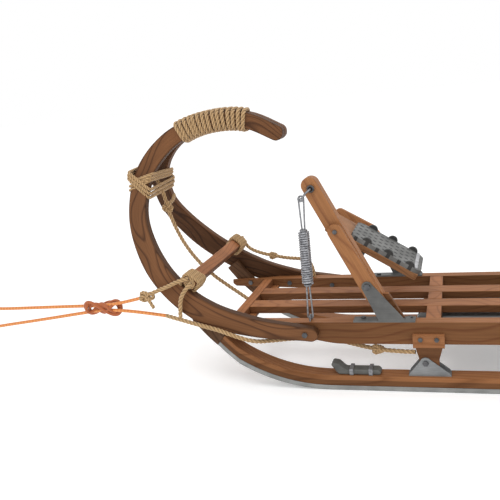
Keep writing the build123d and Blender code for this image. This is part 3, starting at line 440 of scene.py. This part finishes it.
def piece(name, sheets, mat, body, smooth_deg=40):
    """Object from closed surfaces. A surface is (points, board, edge, wrap_rows): a grid in metres whose
    columns close round it, the grid of its own coordinates, its edge value, and if its rows close too; an open
    one gets flat caps."""
    verts, faces, boards, edges = [], [], [], []
    start = 0
    for points, board, edge, wrap_rows in sheets:
        r, c = points.shape[:2]
        verts.append(points.reshape(-1, 3))
        boards.append(np.broadcast_to(board, points.shape).reshape(-1, 3))
        edges.append(np.broadcast_to(edge, (r, c)).reshape(-1))
        faces += (rows_of(points, wrap_rows, True) + start).tolist()
        if not wrap_rows:
            faces += [list(range(start + c - 1, start - 1, -1)),
                      list(range(start + (r - 1) * c, start + r * c))]
        start += r * c
    mesh = bpy.data.meshes.new(name)
    mesh.from_pydata(np.vstack(verts).tolist(), [], faces)
    board = mesh.attributes.new("board", "FLOAT_VECTOR", "POINT")
    board.data.foreach_set("vector", np.vstack(boards).ravel())
    edge = mesh.attributes.new("edge", "FLOAT", "POINT")
    edge.data.foreach_set("value", np.concatenate(edges))
    work = bmesh.new()
    work.from_mesh(mesh)
    bmesh.ops.recalc_face_normals(work, faces=work.faces)
    work.to_mesh(mesh)
    work.free()
    return dress(name, mesh, mat, body, smooth_deg)


def dress(name, mesh, mat, body, smooth_deg):
    """Finished mesh as a piece with its material, riding on its body."""
    mesh.materials.clear()
    mesh.materials.append(mat)
    mesh.polygons.foreach_set("use_smooth", [True] * len(mesh.polygons))
    mesh.set_sharp_from_angle(angle=math.radians(smooth_deg))
    obj = bpy.data.objects.new(name, mesh)
    bpy.context.scene.collection.objects.link(obj)
    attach(obj, body)
    return obj


def eased(node, mat, ease_mm):
    """Copy of a CAD piece with its sharp edges eased by a plane or a file, rounder where that's over 2 mm."""
    source = frame["nodes"][node]
    work = bmesh.new()
    work.from_mesh(source.data)
    bmesh.ops.remove_doubles(work, verts=work.verts, dist=1e-5)
    bmesh.ops.dissolve_limit(work, angle_limit=math.radians(0.5), verts=work.verts, edges=work.edges)
    mesh = bpy.data.meshes.new(node + "_eased")
    work.to_mesh(mesh)
    work.free()
    obj = dress(node + "_eased", mesh, mat, source["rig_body"], 35)
    bevel = obj.modifiers.new("eased edges", "BEVEL")
    bevel.width, bevel.segments, bevel.limit_method = ease_mm * MM, 3 if ease_mm > 2 else 2, "ANGLE"
    bevel.angle_limit = math.radians(34)
    bevel.use_clamp_overlap = True
    bevel.harden_normals = True
    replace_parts(obj, node)
    return obj


def unit(v):
    """Vectors of length 1 in the same directions."""
    return v / np.linalg.norm(v, axis=-1, keepdims=True)


def path_frames(path, closed=False):
    """Directions along and across a path, turned as little as possible from one point to the next."""
    ahead = np.roll(path, -1, 0) - np.roll(path, 1, 0) if closed else np.gradient(path, axis=0)
    ahead = unit(ahead)
    start = np.cross(ahead[0], [0, 1, 0] if abs(ahead[0][1]) < 0.8 else [0, 0, 1])
    across = [unit(start)]
    for t in ahead[1:]:
        across.append(unit(across[-1] - t * (across[-1] @ t)))
    across = np.array(across)
    if closed:
        t, a, b = ahead[0], across[0], across[-1] - ahead[0] * (across[-1] @ ahead[0])
        gap = math.atan2(np.cross(b, a) @ t, a @ b)
        turn = np.linspace(0, gap, len(path))[:, None]
        across = across * np.cos(turn) + np.cross(ahead, across) * np.sin(turn)
    return ahead, across, np.cross(ahead, across)


def distance_run(path):
    """Distance along a path at each of its points."""
    return np.concatenate([[0], np.cumsum(np.linalg.norm(np.diff(path, axis=0), axis=1))])


def evenly(path, step):
    """The same line with points a step apart."""
    run = distance_run(path)
    count = max(3, int(round(run[-1] / step)) + 1)
    where = np.linspace(0, run[-1], count)
    return np.column_stack([np.interp(where, run, path[:, i]) for i in range(3)])


def round_tube(path, radius, sides, closed=False):
    """Tube along a path: centre + radius (across cos a + aside sin a). edge is 1."""
    ahead, across, aside = path_frames(path, closed)
    a = np.linspace(0, 2 * math.pi, sides, endpoint=False)
    radius = np.broadcast_to(radius, len(path))[:, None, None]
    points = path[:, None] + radius * (across[:, None] * np.cos(a)[None, :, None]
                                       + aside[:, None] * np.sin(a)[None, :, None])
    run = distance_run(path)
    board = np.stack([np.broadcast_to(run[:, None], (len(path), sides)),
                      radius[..., 0] * np.cos(a)[None], radius[..., 0] * np.sin(a)[None]], -1)
    return points, board, 1.0, closed


LAY = 2.9    # rope diameters for one full turn of a strand
STRANDS, STRAND_SIDES = 3, 7
STRAND_RING, STRAND_RADIUS = 0.235, 0.262    # how far out strands lie, and their radius, in rope diameters


def laid_strands(path, diameter, closed=False):
    """Strands of a laid rope: tubes whose centres turn round the path as s / (LAY x diameter)."""
    ahead, across, aside = path_frames(path, closed)
    run = distance_run(path)
    total = run[-1] + (np.linalg.norm(path[0] - path[-1]) if closed else 0)
    turns = total / (LAY * diameter)
    if closed:
        turns = max(1, round(turns))
    ring, strand = STRAND_RING * diameter, STRAND_RADIUS * diameter
    sheets = []
    for k in range(STRANDS):
        phase = (2 * math.pi * (run / total * turns + k / STRANDS))[:, None]
        centre = path + ring * (across * np.cos(phase) + aside * np.sin(phase))
        points, board, _, wraps = round_tube(centre, strand, STRAND_SIDES, closed)
        # edge: how far out each strand's surface stands, which the rope material paints as shade in the grooves
        # and highlight on the crowns.
        out = np.linalg.norm(points - path[:, None], axis=-1) / (ring + strand)
        sheets.append((points, board + [0, k, 0], np.clip((out - 0.35) / 0.65, 0, 1), wraps))
    return sheets


# ---------------------------------------------------------------- bow

BOW_BOLT = (-360.0, 183.0)    # where each arm is bolted to its rail, X and Z
BOW_LENGTH = 1500.0
BOW_KNOTS = [(0, 0), (-154, 19), (-309, 65), (-440, 155), (-527, 261), (-571, 373),
             (-553, 497), (-470, 592), (-349, 638), (-207, 638), (-83, 580)]
RAIL_OUT = 260.0
ARM_THICK = 35.0
ARM_BACK, ARM_TIP = -0.011, 0.987    # the arms' ends, as shares of the curve
BACK_ROUND, TIP_ROUND = 21, 24       # what their round ends add
SPREAD_START, SPREAD_END = 0.18, 0.75
ARM_ROUND = 5.5
HALF_DRAWN = 30    # half the width of the outline that each section is stretched from


def bow_point(t):
    """Arms' centre line in X and Z, mm: a Catmull-Rom curve through the knots, straight before the first."""
    k = np.array(BOW_KNOTS, float) + BOW_BOLT
    n = len(k) - 1
    k = np.vstack([2 * k[0] - k[1], k, 2 * k[-1] - k[-2]])
    t = np.atleast_1d(np.asarray(t, float))
    i = np.clip((t * n).astype(int), 0, n - 1)
    u = np.maximum(t * n - i, 0)[:, None]
    a, b, c, d = (k[i + j] for j in range(4))
    curve = (2 * b + (c - a) * u + (2 * a - 5 * b + 4 * c - d) * u ** 2
             + (3 * b - a - 3 * c + d) * u ** 3) / 2
    return curve + (c - a) / 2 * np.minimum(t * n, 0)[:, None]


def bow_frame(t):
    """Centre, direction along and direction inwards, in X and Z, for each t."""
    run = unit(bow_point(np.asarray(t) + 0.004) - bow_point(np.asarray(t) - 0.004))
    return bow_point(t), run, np.stack([run[:, 1], -run[:, 0]], -1)


def arm_width(t):
    """Arm's width in the plane of the bend, mm, measured at places along it."""
    return np.interp(t, [0, 0.1, 0.2, 0.35, 0.5, 0.65, 0.8, 1], [43, 58, 76, 75, 62, 60, 53, 50])


def arm_spread(t):
    """Arm's middle from the centre line: smoothstep from the rails' sides to side by side at the top."""
    wide, narrow = RAIL_OUT + ARM_THICK / 2 + 0.3, ARM_THICK / 2 + 0.6
    u = np.clip((np.asarray(t) - SPREAD_START) / (SPREAD_END - SPREAD_START), 0, 1)
    return wide + (narrow - wide) * u * u * (3 - 2 * u)


def bow_to_frame(t, inward, y, ahead=0.0):
    """Points given beside the bow's curve, mm inwards, across the sled and ahead, in the frame."""
    t = np.atleast_1d(t)
    c, run, inn = bow_frame(t)
    flat = c + inn * np.reshape(np.broadcast_to(inward, t.shape), (-1, 1)) \
        + run * np.reshape(np.broadcast_to(ahead, t.shape), (-1, 1))
    return drawn(np.column_stack([flat[:, 0], np.broadcast_to(y, t.shape), flat[:, 1]]))


def rounded_box(half_w, half_h, corner, per_corner=5, per_side=3):
    """Closed outline of a rectangle with round corners: points on four arcs and along the sides between."""
    out = []
    for k, (sx, sy) in enumerate(((1, 1), (-1, 1), (-1, -1), (1, -1))):
        a = np.linspace(0, math.pi / 2, per_corner) + k * math.pi / 2
        out.append(np.stack([sx * (half_w - corner) + corner * np.cos(a),
                             sy * (half_h - corner) + corner * np.sin(a)], -1))
    loop = np.vstack(out)
    after = np.roll(loop, -1, 0)
    last = np.arange(1, 5) * per_corner - 1
    parts = []
    for k in range(4):
        parts.append(loop[k * per_corner:(k + 1) * per_corner])
        f = np.linspace(0, 1, per_side + 2)[1:-1, None]
        parts.append(loop[last[k]] * (1 - f) + after[last[k]] * f)
    return np.vstack(parts)


def bow_arm(side):
    """Bent arm: a rounded rectangle carried along the bow's curve, its width closing as a half circle at both
    ends: w = sqrt(r^2 - (r - d)^2) at d from an end."""
    back, tip = ARM_BACK - BACK_ROUND / BOW_LENGTH, ARM_TIP + TIP_ROUND / BOW_LENGTH
    core = np.linspace(back, tip, 260)
    near = np.array([0.2, 0.8, 2, 4, 7, 11, 15]) / BOW_LENGTH
    t = np.sort(np.concatenate([core, back + near, tip - near]))
    half = arm_width(t) / 2
    d = np.maximum(np.minimum((t - back), (tip - t)) * BOW_LENGTH, 0.02)
    end = np.minimum(d, half)
    half = np.sqrt(half ** 2 - (half - end) ** 2)
    c, run, inn = bow_frame(t)
    y = arm_spread(t) * side
    base = rounded_box(HALF_DRAWN, ARM_THICK / 2, ARM_ROUND)
    inner = np.abs(base[:, 0]) - (HALF_DRAWN - ARM_ROUND)
    n = np.sign(base[:, 0]) * np.where(inner > 0, 1, 0)
    round_r = np.minimum(ARM_ROUND, half * 0.9)[:, None]
    flat = base[:, 0][None] * ((half[:, None] - round_r) / (HALF_DRAWN - ARM_ROUND))
    curved = n[None] * ((half[:, None] - round_r) + inner[None] * round_r / ARM_ROUND)
    across = np.where(inner[None] > 0, curved, flat)
    tall = np.broadcast_to(base[:, 1][None], across.shape)
    x = c[:, 0][:, None] + inn[:, 0][:, None] * across
    z = c[:, 1][:, None] + inn[:, 1][:, None] * across
    points = drawn(np.stack([x, y[:, None] + tall, z], -1))
    along = np.broadcast_to(t[:, None] * BOW_LENGTH, across.shape)
    board = np.stack([along, tall + 37 * side, across], -1) * MM
    # Painted shade: the edge attribute darkens the edge faces of the left arm and the flat sides of the right
    # arm.
    corner = np.clip(inner / ARM_ROUND, 0, 1)
    edge = corner if side < 0 else 1 - 0.7 * corner    # dark corners on the left arm, dark sides on the right
    edge = np.broadcast_to(edge[None], across.shape)
    return [(points, board, edge, False)]


for side, name in ((-1, "left_bow_arm"), (1, "right_bow_arm")):
    obj = piece(name + "_bent", bow_arm(side), BENT_ASH, "sled", 50)
    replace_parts(obj, name)


WRAP_START, WRAP_END, WRAP_TURNS = 0.731, 0.906, 15    # shares of the bow's curve, and turns
WRAP_ROPE = 14.5
WRAP_SINK = 0.42    # rope diameters from the wood to the rope's middle


def bow_winding():
    """Rope wound side by side round both arms: the outline round them, WRAP_TURNS times along the curve."""
    per_turn = 72
    k = np.arange(WRAP_TURNS * per_turn + 1) / per_turn
    t = WRAP_START + (WRAP_END - WRAP_START) * k / WRAP_TURNS
    base = rounded_box(1, 1, 0.55, 9, 6)
    base = np.vstack([base, base[:1]])
    run = distance_run(base)
    phase = (k % 1) * run[-1]
    n, y = (np.interp(phase, run, base[:, i]) for i in range(2))
    wobble = 0.9 * np.sin(2.3 * k) + 0.7 * np.sin(5.1 * k + 1)
    n = n * (arm_width(t) / 2 + WRAP_ROPE * WRAP_SINK)
    y = y * (arm_spread(t) + ARM_THICK / 2 + WRAP_ROPE * WRAP_SINK)
    path = bow_to_frame(t, n, y, wobble)
    return laid_strands(evenly(path, 0.0035), WRAP_ROPE * MM)


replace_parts(piece("bow_winding", bow_winding(), JUTE, "sled"), "bow_wrap")

LASHING_AT, LASHING_ROPE = 0.572, 11.5
LASHING_LOOPS = ((-4, -13, 24, 0), (-4, -1, 22, 1), (-4, 11, 20, 0),    # tilt, shift, slant, how far out
                 (5, -12, -26, 7), (5, 0, -24, 8), (5, 12, -22, 7))


def lashing_loop(half_n, half_y, tilt, shift, slant):
    """Closed rope path round both arms: tilt leans it along the bow from side to side, slant from the outer
    edge to the inner one."""
    base = rounded_box(half_n, half_y, 10, 9, 6)
    base = np.vstack([base, base[:1]])
    run = distance_run(base)
    where = np.linspace(0, run[-1], 230, endpoint=False)
    n, y = (np.interp(where, run, base[:, i]) for i in range(2))
    return bow_to_frame(np.full(len(where), LASHING_AT), n, y, shift + tilt * y / half_y + slant * n / half_n)


def bow_lashing_turns():
    """Two sets of three turns round both arms, which cross on each arm's side."""
    half = float(arm_width(LASHING_AT)) / 2 + 4
    span = float(arm_spread(LASHING_AT)) + ARM_THICK / 2 + 7
    sheets = []
    for tilt, shift, slant, out in LASHING_LOOPS:
        loop = lashing_loop(half + out, span + out, tilt, shift, slant)
        sheets += laid_strands(loop, LASHING_ROPE * MM, True)
    return sheets


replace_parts(piece("bow_lashing_turns", bow_lashing_turns(), JUTE, "sled"), "bow_lashing")

BAR_AT = 0.262
BAR_WIDTH, BAR_DEPTH = 40.0, 32.0
BAR_TURNS, BAR_PITCH, BAR_CLEAR = 6, 11.3, 6.0
END_COIL_ROPE = 10.5


def crossbar_turns():
    """At each end of the bow crossbar: six leaning turns round the bar and a flat coil over its end."""
    seat = float(arm_width(BAR_AT)) / 2 + 1 + BAR_DEPTH / 2
    mid = float(arm_spread(BAR_AT))
    section = rounded_box(BAR_WIDTH / 2 + BAR_CLEAR, BAR_DEPTH / 2 + BAR_CLEAR, 11, 9, 6)
    a = np.linspace(0, 2 * math.pi, len(section), endpoint=False)
    spiral, shrink = np.linspace(0, 4.4 * math.pi, 120), np.linspace(0.85, 0.12, 120)
    sheets = []
    for side in (-1, 1):
        for k in range(BAR_TURNS):
            y = side * (mid + 7 - BAR_PITCH * k + (4.0 + k) * np.cos(a))
            loop = bow_to_frame(np.full(len(a), BAR_AT), seat + section[:, 1], y, section[:, 0])
            sheets += laid_strands(loop, LASHING_ROPE * MM, True)
        end = bow_to_frame(np.full(120, BAR_AT), seat + (BAR_DEPTH / 2 + 3) * shrink * np.sin(spiral),
                           np.full(120, side * (mid + 12)), (BAR_WIDTH / 2 + 3) * shrink * np.cos(spiral))
        sheets += laid_strands(evenly(end, 0.003), END_COIL_ROPE * MM)
    return sheets


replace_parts(piece("crossbar_lashing_turns", crossbar_turns(), JUTE, "sled"), "crossbar_lashings")

# ---------------------------------------------------------------- ropes


def rope_line(points):
    """Line of a limp rope along its route's points: a quadratic NURBS spline, as points 3 mm apart."""
    curve = bpy.data.curves.new("route", "CURVE")
    curve.dimensions = "3D"
    spline = curve.splines.new("NURBS")
    spline.points.add(len(points) - 1)
    spline.points.foreach_set("co", np.column_stack([drawn(points), np.ones(len(points))]).ravel())
    spline.order_u = 3
    spline.use_endpoint_u = True
    spline.resolution_u = 24
    holder = bpy.data.objects.new("route", curve)
    mesh = bpy.data.meshes.new_from_object(holder)
    line = np.zeros(len(mesh.vertices) * 3)
    mesh.vertices.foreach_get("co", line)
    bpy.data.objects.remove(holder)
    bpy.data.meshes.remove(mesh)
    return evenly(line.reshape(-1, 3), 0.003)


# Routes in X, Y and Z, mm
LEFT_TRACE = [(-806, -287, 243), (-755, -296, 233), (-695, -303, 218), (-629, -306, 202), (-571, -306, 179),
              (-520, -288, 156), (-466, -248, 147), (-402, -213, 141), (-335, -206, 139), (-270, -207, 132),
              (-214, -216, 121), (-152, -236, 116), (-88, -247, 114), (-40, -252, 115)]
RIGHT_TRACE = [(-710, 287, 363), (-694, 272, 327), (-640, 264, 303), (-586, 261, 291), (-528, 256, 281),
               (-476, 250, 279), (-446, 244, 270), (-431, 240, 248), (-429, 240, 210.3)]
BRIDLE_LEAD = [(-718, -282, 362), (-750, -289, 358), (-792, -284, 338), (-833, -281, 323), (-870, -282, 309)]
BRIDLE_DROP = [(-706, -293, 351), (-733, -300, 328), (-750, -302, 289), (-755, -296, 238)]
STAY_ROPE = [(-905, 0, 640), (-888, 0, 595), (-880, 0, 543), (-866, 0, 487), (-833, 0, 408), (-787, 0, 341),
             (-738, 0, 291), (-681, 0, 248), (-621, 0, 204)]
STAY_FORK = [(-880, 6, 548), (-878, 38, 555), (-880, 64, 562), (-886, 90, 572)]
TOW_LINE = [(-889, -280, 301), (-968, -266, 280), (-1046, -252, 267), (-1128, -240, 262), (-1308, -219, 251),
            (-1489, -200, 240), (-1540, -196, 244), (-1585, -195, 243), (-1607, -195, 221), (-1607, -195, 190),
            (-1585, -195, 168), (-1541, -196, 167), (-1500, -200, 176), (-1312, -219, 206), (-1120, -240, 239),
            (-1046, -252, 252), (-965, -266, 254), (-885, -277, 250), (-806, -287, 243)]


WEAVE = 0.7    # cord diameters from one crossing of a braid to the next but one


def smooth_cord(path, diameter):
    """Braided cord, drawn as a round tube whose surface stands out and in along two crossing helices."""
    points, board, _, wraps = round_tube(path, diameter / 2, 16)
    run, sides = board[:, :, 0], points.shape[1]
    a = np.linspace(0, 2 * math.pi, sides, endpoint=False)[None]
    along = run / (WEAVE * diameter) * 2 * math.pi
    weave = np.sin(along + 2 * a) * np.sin(along - 2 * a)
    centre = path[:, None]
    points = centre + (points - centre) * (1 + 0.015 * weave)[..., None]
    # edge paints shade where the braid dips and light where its strands cross over.
    return [(points, board, np.clip(0.72 + 0.2 * weave, 0, 1), wraps)]


def smooth_cord_closed(path, diameter):
    """Plain cord whose ends meet, painted dark all over as the shade inside a knot."""
    points, board, _, wraps = round_tube(path, diameter / 2, 14, True)
    return [(points, board, 0.35, wraps)]


def knot_turns(centre, size, rope, seed=0.0):
    """Tight knot: a closed rope path that winds p times round and q times through a ring:
    (R + r cos q a)(cos p a, sin p a), r sin q a."""
    p, q = 2, 3
    big, small = 0.58, 0.42
    a = np.linspace(0, 2 * math.pi, 220, endpoint=False)
    ring = big + small * np.cos(q * a + seed)
    x, z, y = ring * np.cos(p * a), ring * np.sin(p * a), small * np.sin(q * a + seed)
    path = np.stack([x, y, z], -1) * (np.array(size) - rope / 2) + centre
    return laid_strands(drawn(path), rope * MM, True)


TOW_KNOT = (-1046, -252, 259.5)
TOW_KNOT_CORD = 10.5


def tow_knot_turns():
    """Doubled figure-eight: (A cos a, C sin a, B sin 2a), and a cord that winds through it three times:
    (A cos a, C cos 3a, B sin 3a)."""
    a = np.linspace(0, 2 * math.pi, 260, endpoint=False)
    eight = np.stack([66 * np.cos(a), 11 * np.sin(a), 22 * np.sin(2 * a)], -1)
    second = np.stack([54 * np.cos(a + 0.35), 12 * np.sin(a + 0.35) + 6, 15 * np.sin(2 * a)], -1)
    wound = np.stack([56 * np.cos(a), 9 * np.cos(3 * a) - 3, 15 * np.sin(3 * a)], -1)
    sheets = []
    for path in (eight, second, wound):
        sheets += smooth_cord_closed(drawn(path + np.array(TOW_KNOT)), TOW_KNOT_CORD * MM)
    return sheets


JUTE_SOLD, JUTE_SEEN = 12, 14    # what jute is sold as, and its width over the strands
TOW_ROPE = 11

bridle_tail = evenly(drawn(np.array([[-862, -288, 303], [-852, -294, 288], [-842, -296, 272]])), 0.003)
bridle_knot = piece("bridle_knot", knot_turns((-870, -281, 306), (31, 19, 21), 13)
                    + laid_strands(bridle_tail, 12 * MM), JUTE, "sled")
stay_knot = piece("stay_knot", knot_turns((-880, 0, 543), (22, 19, 24), 12.5, 1.0), JUTE, "sled")
right_knot = piece("right_trace_knot", knot_turns((-586, 261, 291), (19, 14, 17), 10), JUTE, "sled")
left_knot = piece("left_trace_knot", knot_turns((-152, -236, 116), (22, 15, 19), 11), JUTE, "sled")
for knot in (bridle_knot, stay_knot, right_knot, left_knot):
    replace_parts(knot, "jute_knots")
tow_knot = piece("tow_knot_turns", tow_knot_turns(), TOW_FIBRE, "sled")
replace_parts(tow_knot, "tow_knot")

for name, route, ends, knots in (
        ("left_trace", LEFT_TRACE[::-1], "object", [left_knot]),
        ("right_trace", RIGHT_TRACE, "object", [right_knot]),
        ("bridle_lead", BRIDLE_LEAD, "knot", [bridle_knot]), ("bridle_drop", BRIDLE_DROP, "object", []),
        ("stay_rope", STAY_ROPE, "object", [stay_knot]), ("stay_fork", STAY_FORK, "object", [])):
    line = rope_line(route)
    rope = piece(name + "_laid", laid_strands(line, JUTE_SEEN * MM), JUTE, "sled")
    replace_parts(rope, name)
line = rope_line(TOW_LINE)
tow = piece("tow_rope_braided", smooth_cord(line, TOW_ROPE * MM), TOW_FIBRE, "sled")
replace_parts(tow, "tow_rope")

# ---------------------------------------------------------------- wood and metal pieces

for node, mat, slot, ease in (    # CAD piece, material, slot and how far its edges are eased, mm
        ("left_runner", RUNNER_ASH, "frame_wood", 3), ("right_runner", RUNNER_ASH, "frame_wood", 3),
        ("left_runner_nose", NOSE_ASH, "dark_bent_wood", 3),
        ("right_runner_nose", NOSE_ASH, "dark_bent_wood", 3),
        ("left_runner_shoe", SHOE_STEEL, "shoe_steel", 2), ("right_runner_shoe", SHOE_STEEL, "shoe_steel", 2),
        ("left_bed_rail", RAIL_ASH, "frame_wood", 3), ("right_bed_rail", RAIL_ASH, "frame_wood", 3),
        ("left_deck_slat", SLAT_ASH, "pale_wood", 2.5), ("right_deck_slat", SLAT_ASH, "pale_wood", 2.5),
        ("front_crossbar", CROSS_ASH, "frame_wood", 2), ("station_1_crossbar", CROSS_ASH, "frame_wood", 2),
        ("station_2_crossbar", CROSS_ASH, "frame_wood", 2),
        ("station_3_crossbar", CROSS_ASH, "frame_wood", 2),
        ("rear_crossbar", CROSS_ASH, "frame_wood", 2), ("belly_sheet", SHEET, "belly_sheet", 0.8),
        ("station_1_stanchions", TAB_ASH, "frame_wood", 2.5),
        ("station_2_stanchions", TAB_ASH, "frame_wood", 2.5),
        ("station_3_stanchions", TAB_ASH, "frame_wood", 2.5), ("stop_block", RAIL_ASH, "frame_wood", 2),
        ("bow_crossbar", CROSS_ASH, "pale_wood", 2), ("pedal_post", POST_ASH, "pale_wood", 2.5),
        ("post_doubler", POST_ASH, "pale_wood", 2), ("right_pedal_arm", POST_ASH, "pale_wood", 2),
        ("cross_rod", CROSS_ASH, "pale_wood", 1.5), ("foot_board", BOARD_ASH, "pale_wood", 2.5),
        ("stanchion_brackets", PALE_STEEL, "bracket_steel", 0.8),
        ("stanchion_pins", BOLT_STEEL, "fastener_steel", 0.8),
        ("stanchion_bolts", BOLT_STEEL, "fastener_steel", 0.8),
        ("bow_bolts", BOLT_STEEL, "fastener_steel", 0.8),
        ("bracket_screws", BOLT_STEEL, "fastener_steel", 1.5),
        ("left_pivot_bracket", BRACKET_STEEL, "bracket_steel", 0.8),
        ("right_pivot_bracket", BRACKET_STEEL, "bracket_steel", 0.8),
        ("board_saddles", BRACKET_STEEL, "bracket_steel", 1),
        ("pivot_bolts", BOLT_STEEL, "fastener_steel", 0.8),
        ("doubler_bolt", BOLT_STEEL, "fastener_steel", 0.8),
        ("runner_grip", GRIP_RUBBER, "grey_rubber", 5), ("grip_straps", WIRE_STEEL, "bracket_steel", 0.8),
        ("heel_bar", HEEL_STEEL, "fastener_steel", 1.5), ("tread_pad", PAD_RUBBER, "grey_rubber", 2.5)):
    eased(node, mat, ease)

# ---------------------------------------------------------------- spring and its fittings

COIL_WIRE, COIL_TURNS = 6.0, 22
coil_lo, coil_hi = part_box("spring_coil")
coil_x, coil_y = (coil_lo.x + coil_hi.x) / 2, (coil_lo.y + coil_hi.y) / 2


def coil_turns():
    """Closed-wound coil: a helix of wire that fills the CAD coil's box."""
    wire = COIL_WIRE * MM
    radius = (coil_hi.x - coil_lo.x) / 2 - wire / 2
    a = np.linspace(0, 2 * math.pi * COIL_TURNS, COIL_TURNS * 26)
    z = np.linspace(coil_lo.z + wire / 2, coil_hi.z - wire / 2, len(a))
    path = np.stack([coil_x + radius * np.cos(a), coil_y + radius * np.sin(a), z], -1)
    return [round_tube(path, wire / 2, 9)]


coil = piece("spring_coil_wound", coil_turns(), SPRING_STEEL, "spring_lower")
coil.parent = None
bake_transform(coil)
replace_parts(coil, "spring_coil")

SPRING = (-350.0, -239.0)    # X and Y of its axis
EYE_Z, HOOK_Z = 224.0, 589.0
COIL_LOW_Z, COIL_HIGH_Z = 325.0, 492.0
EYELET_UP = 332    # from the pivot, along the post
EYELET = (PIVOT[0] - EYELET_UP * math.sin(POST_LEAN), PIVOT[1] + EYELET_UP * math.cos(POST_LEAN))
EYELET_Y, POST_Y = -242.0, -190.0
LINK_Y = -247.0
PIN_BEND, FOOT_BEND = 8, 4    # radii of a drawbar's two bends
STAPLE_HALF, STAPLE_RISE, STAPLE_FOOT_Z = 11, 3.5, 208


def hairpin(pin_z, foot_z):
    """Drawbar of two wires that closes round a pin: two half circles joined by straight legs."""
    up = 1 if pin_z > foot_z else -1
    a, b = np.linspace(0, math.pi, 15), np.linspace(math.pi, 2 * math.pi, 9)
    x = np.concatenate([PIN_BEND * np.cos(a), FOOT_BEND * np.cos(b)])
    z = np.concatenate([pin_z + up * PIN_BEND * np.sin(a), foot_z + up * FOOT_BEND * np.sin(b)])
    path = np.column_stack([SPRING[0] + x, np.full(len(x), SPRING[1]), z])
    loop = np.vstack([path, path[:1]])
    return round_tube(drawn(evenly(loop, 3.0)[:-1]), 2.7 * MM, 10, True)


def cup(low_z, high_z, radius):
    """Turned plug in the coil's end: a short cylinder with tapering ends."""
    z = np.array([low_z, low_z + 2, high_z - 2, high_z])
    path = np.column_stack([np.full(4, SPRING[0]), np.full(4, SPRING[1]), z])
    return round_tube(drawn(path), np.array([radius - 3, radius, radius, radius - 3]) * MM, 24)


def ring_wire(x, y, z, radius, wire):
    """Ring of wire facing across the sled."""
    a = np.linspace(0, 2 * math.pi, 28, endpoint=False)
    path = np.column_stack([x + radius * np.cos(a), np.full(28, y), z + radius * np.sin(a)])
    return round_tube(drawn(path), wire * MM, 10, True)


upper = piece("spring_upper_wires",
              [hairpin(HOOK_Z, COIL_HIGH_Z - 2), cup(COIL_HIGH_Z - 3, COIL_HIGH_Z + 5, 12)],
              WIRE_STEEL, "spring_upper")
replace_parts(upper, "spring_upper")
lower = piece("spring_lower_wires",
              [hairpin(EYE_Z, COIL_LOW_Z + 2), cup(COIL_LOW_Z - 5, COIL_LOW_Z + 3, 12)],
              WIRE_STEEL, "spring_lower")
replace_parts(lower, "spring_lower")


def hook_wires():
    """Link from the post's eyelet to the spring: a bent wire curled round a cross pin, and that pin."""
    a = np.linspace(math.radians(25), math.radians(-250), 18)
    curl = np.column_stack([SPRING[0] + 6.5 * np.cos(a), np.full(18, LINK_Y), HOOK_Z + 6.5 * np.sin(a)])
    bend = [(EYELET[0] + SPRING[0]) / 2, LINK_Y - 1, (EYELET[1] + HOOK_Z) / 2 + 2]
    run = np.array([[EYELET[0], LINK_Y, EYELET[1]], bend])
    cross = np.array([[SPRING[0], -233.0, HOOK_Z], [SPRING[0], -249.0, HOOK_Z]])
    return [round_tube(drawn(evenly(np.vstack([run, curl]), 2.0)), 3.2 * MM, 10),
            round_tube(drawn(evenly(cross, 2.0)), 2.8 * MM, 10)]


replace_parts(piece("spring_hook_wire", hook_wires(), WIRE_STEEL, "pedal"), "spring_hook")
shank = np.array([[EYELET[0], POST_Y, EYELET[1]], [EYELET[0], EYELET_Y - 8, EYELET[1]]])
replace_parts(piece("post_eyelet_ring", [ring_wire(EYELET[0], EYELET_Y, EYELET[1], 8.5, 3.2),
                                       round_tube(drawn(evenly(shank, 3.0)), 3.6 * MM, 12)],
                  BOLT_STEEL, "pedal"), "post_eyelet")


def rail_staple():
    """Staple through the spring's lower eye: a flat arch of wire on straight legs."""
    a = np.linspace(0, math.pi, 15)
    y, z = SPRING[1] + STAPLE_HALF * np.cos(a), EYE_Z + STAPLE_RISE * np.sin(a) - 0.5
    arch = np.column_stack([np.full(17, SPRING[0]),
                            np.concatenate([[SPRING[1] + STAPLE_HALF], y, [SPRING[1] - STAPLE_HALF]]),
                            np.concatenate([[STAPLE_FOOT_Z], z, [STAPLE_FOOT_Z]])])
    return [round_tube(drawn(evenly(arch, 2.0)), 2.8 * MM, 10)]


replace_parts(piece("rail_staple", rail_staple(), WIRE_STEEL, "sled"), "rail_eye")
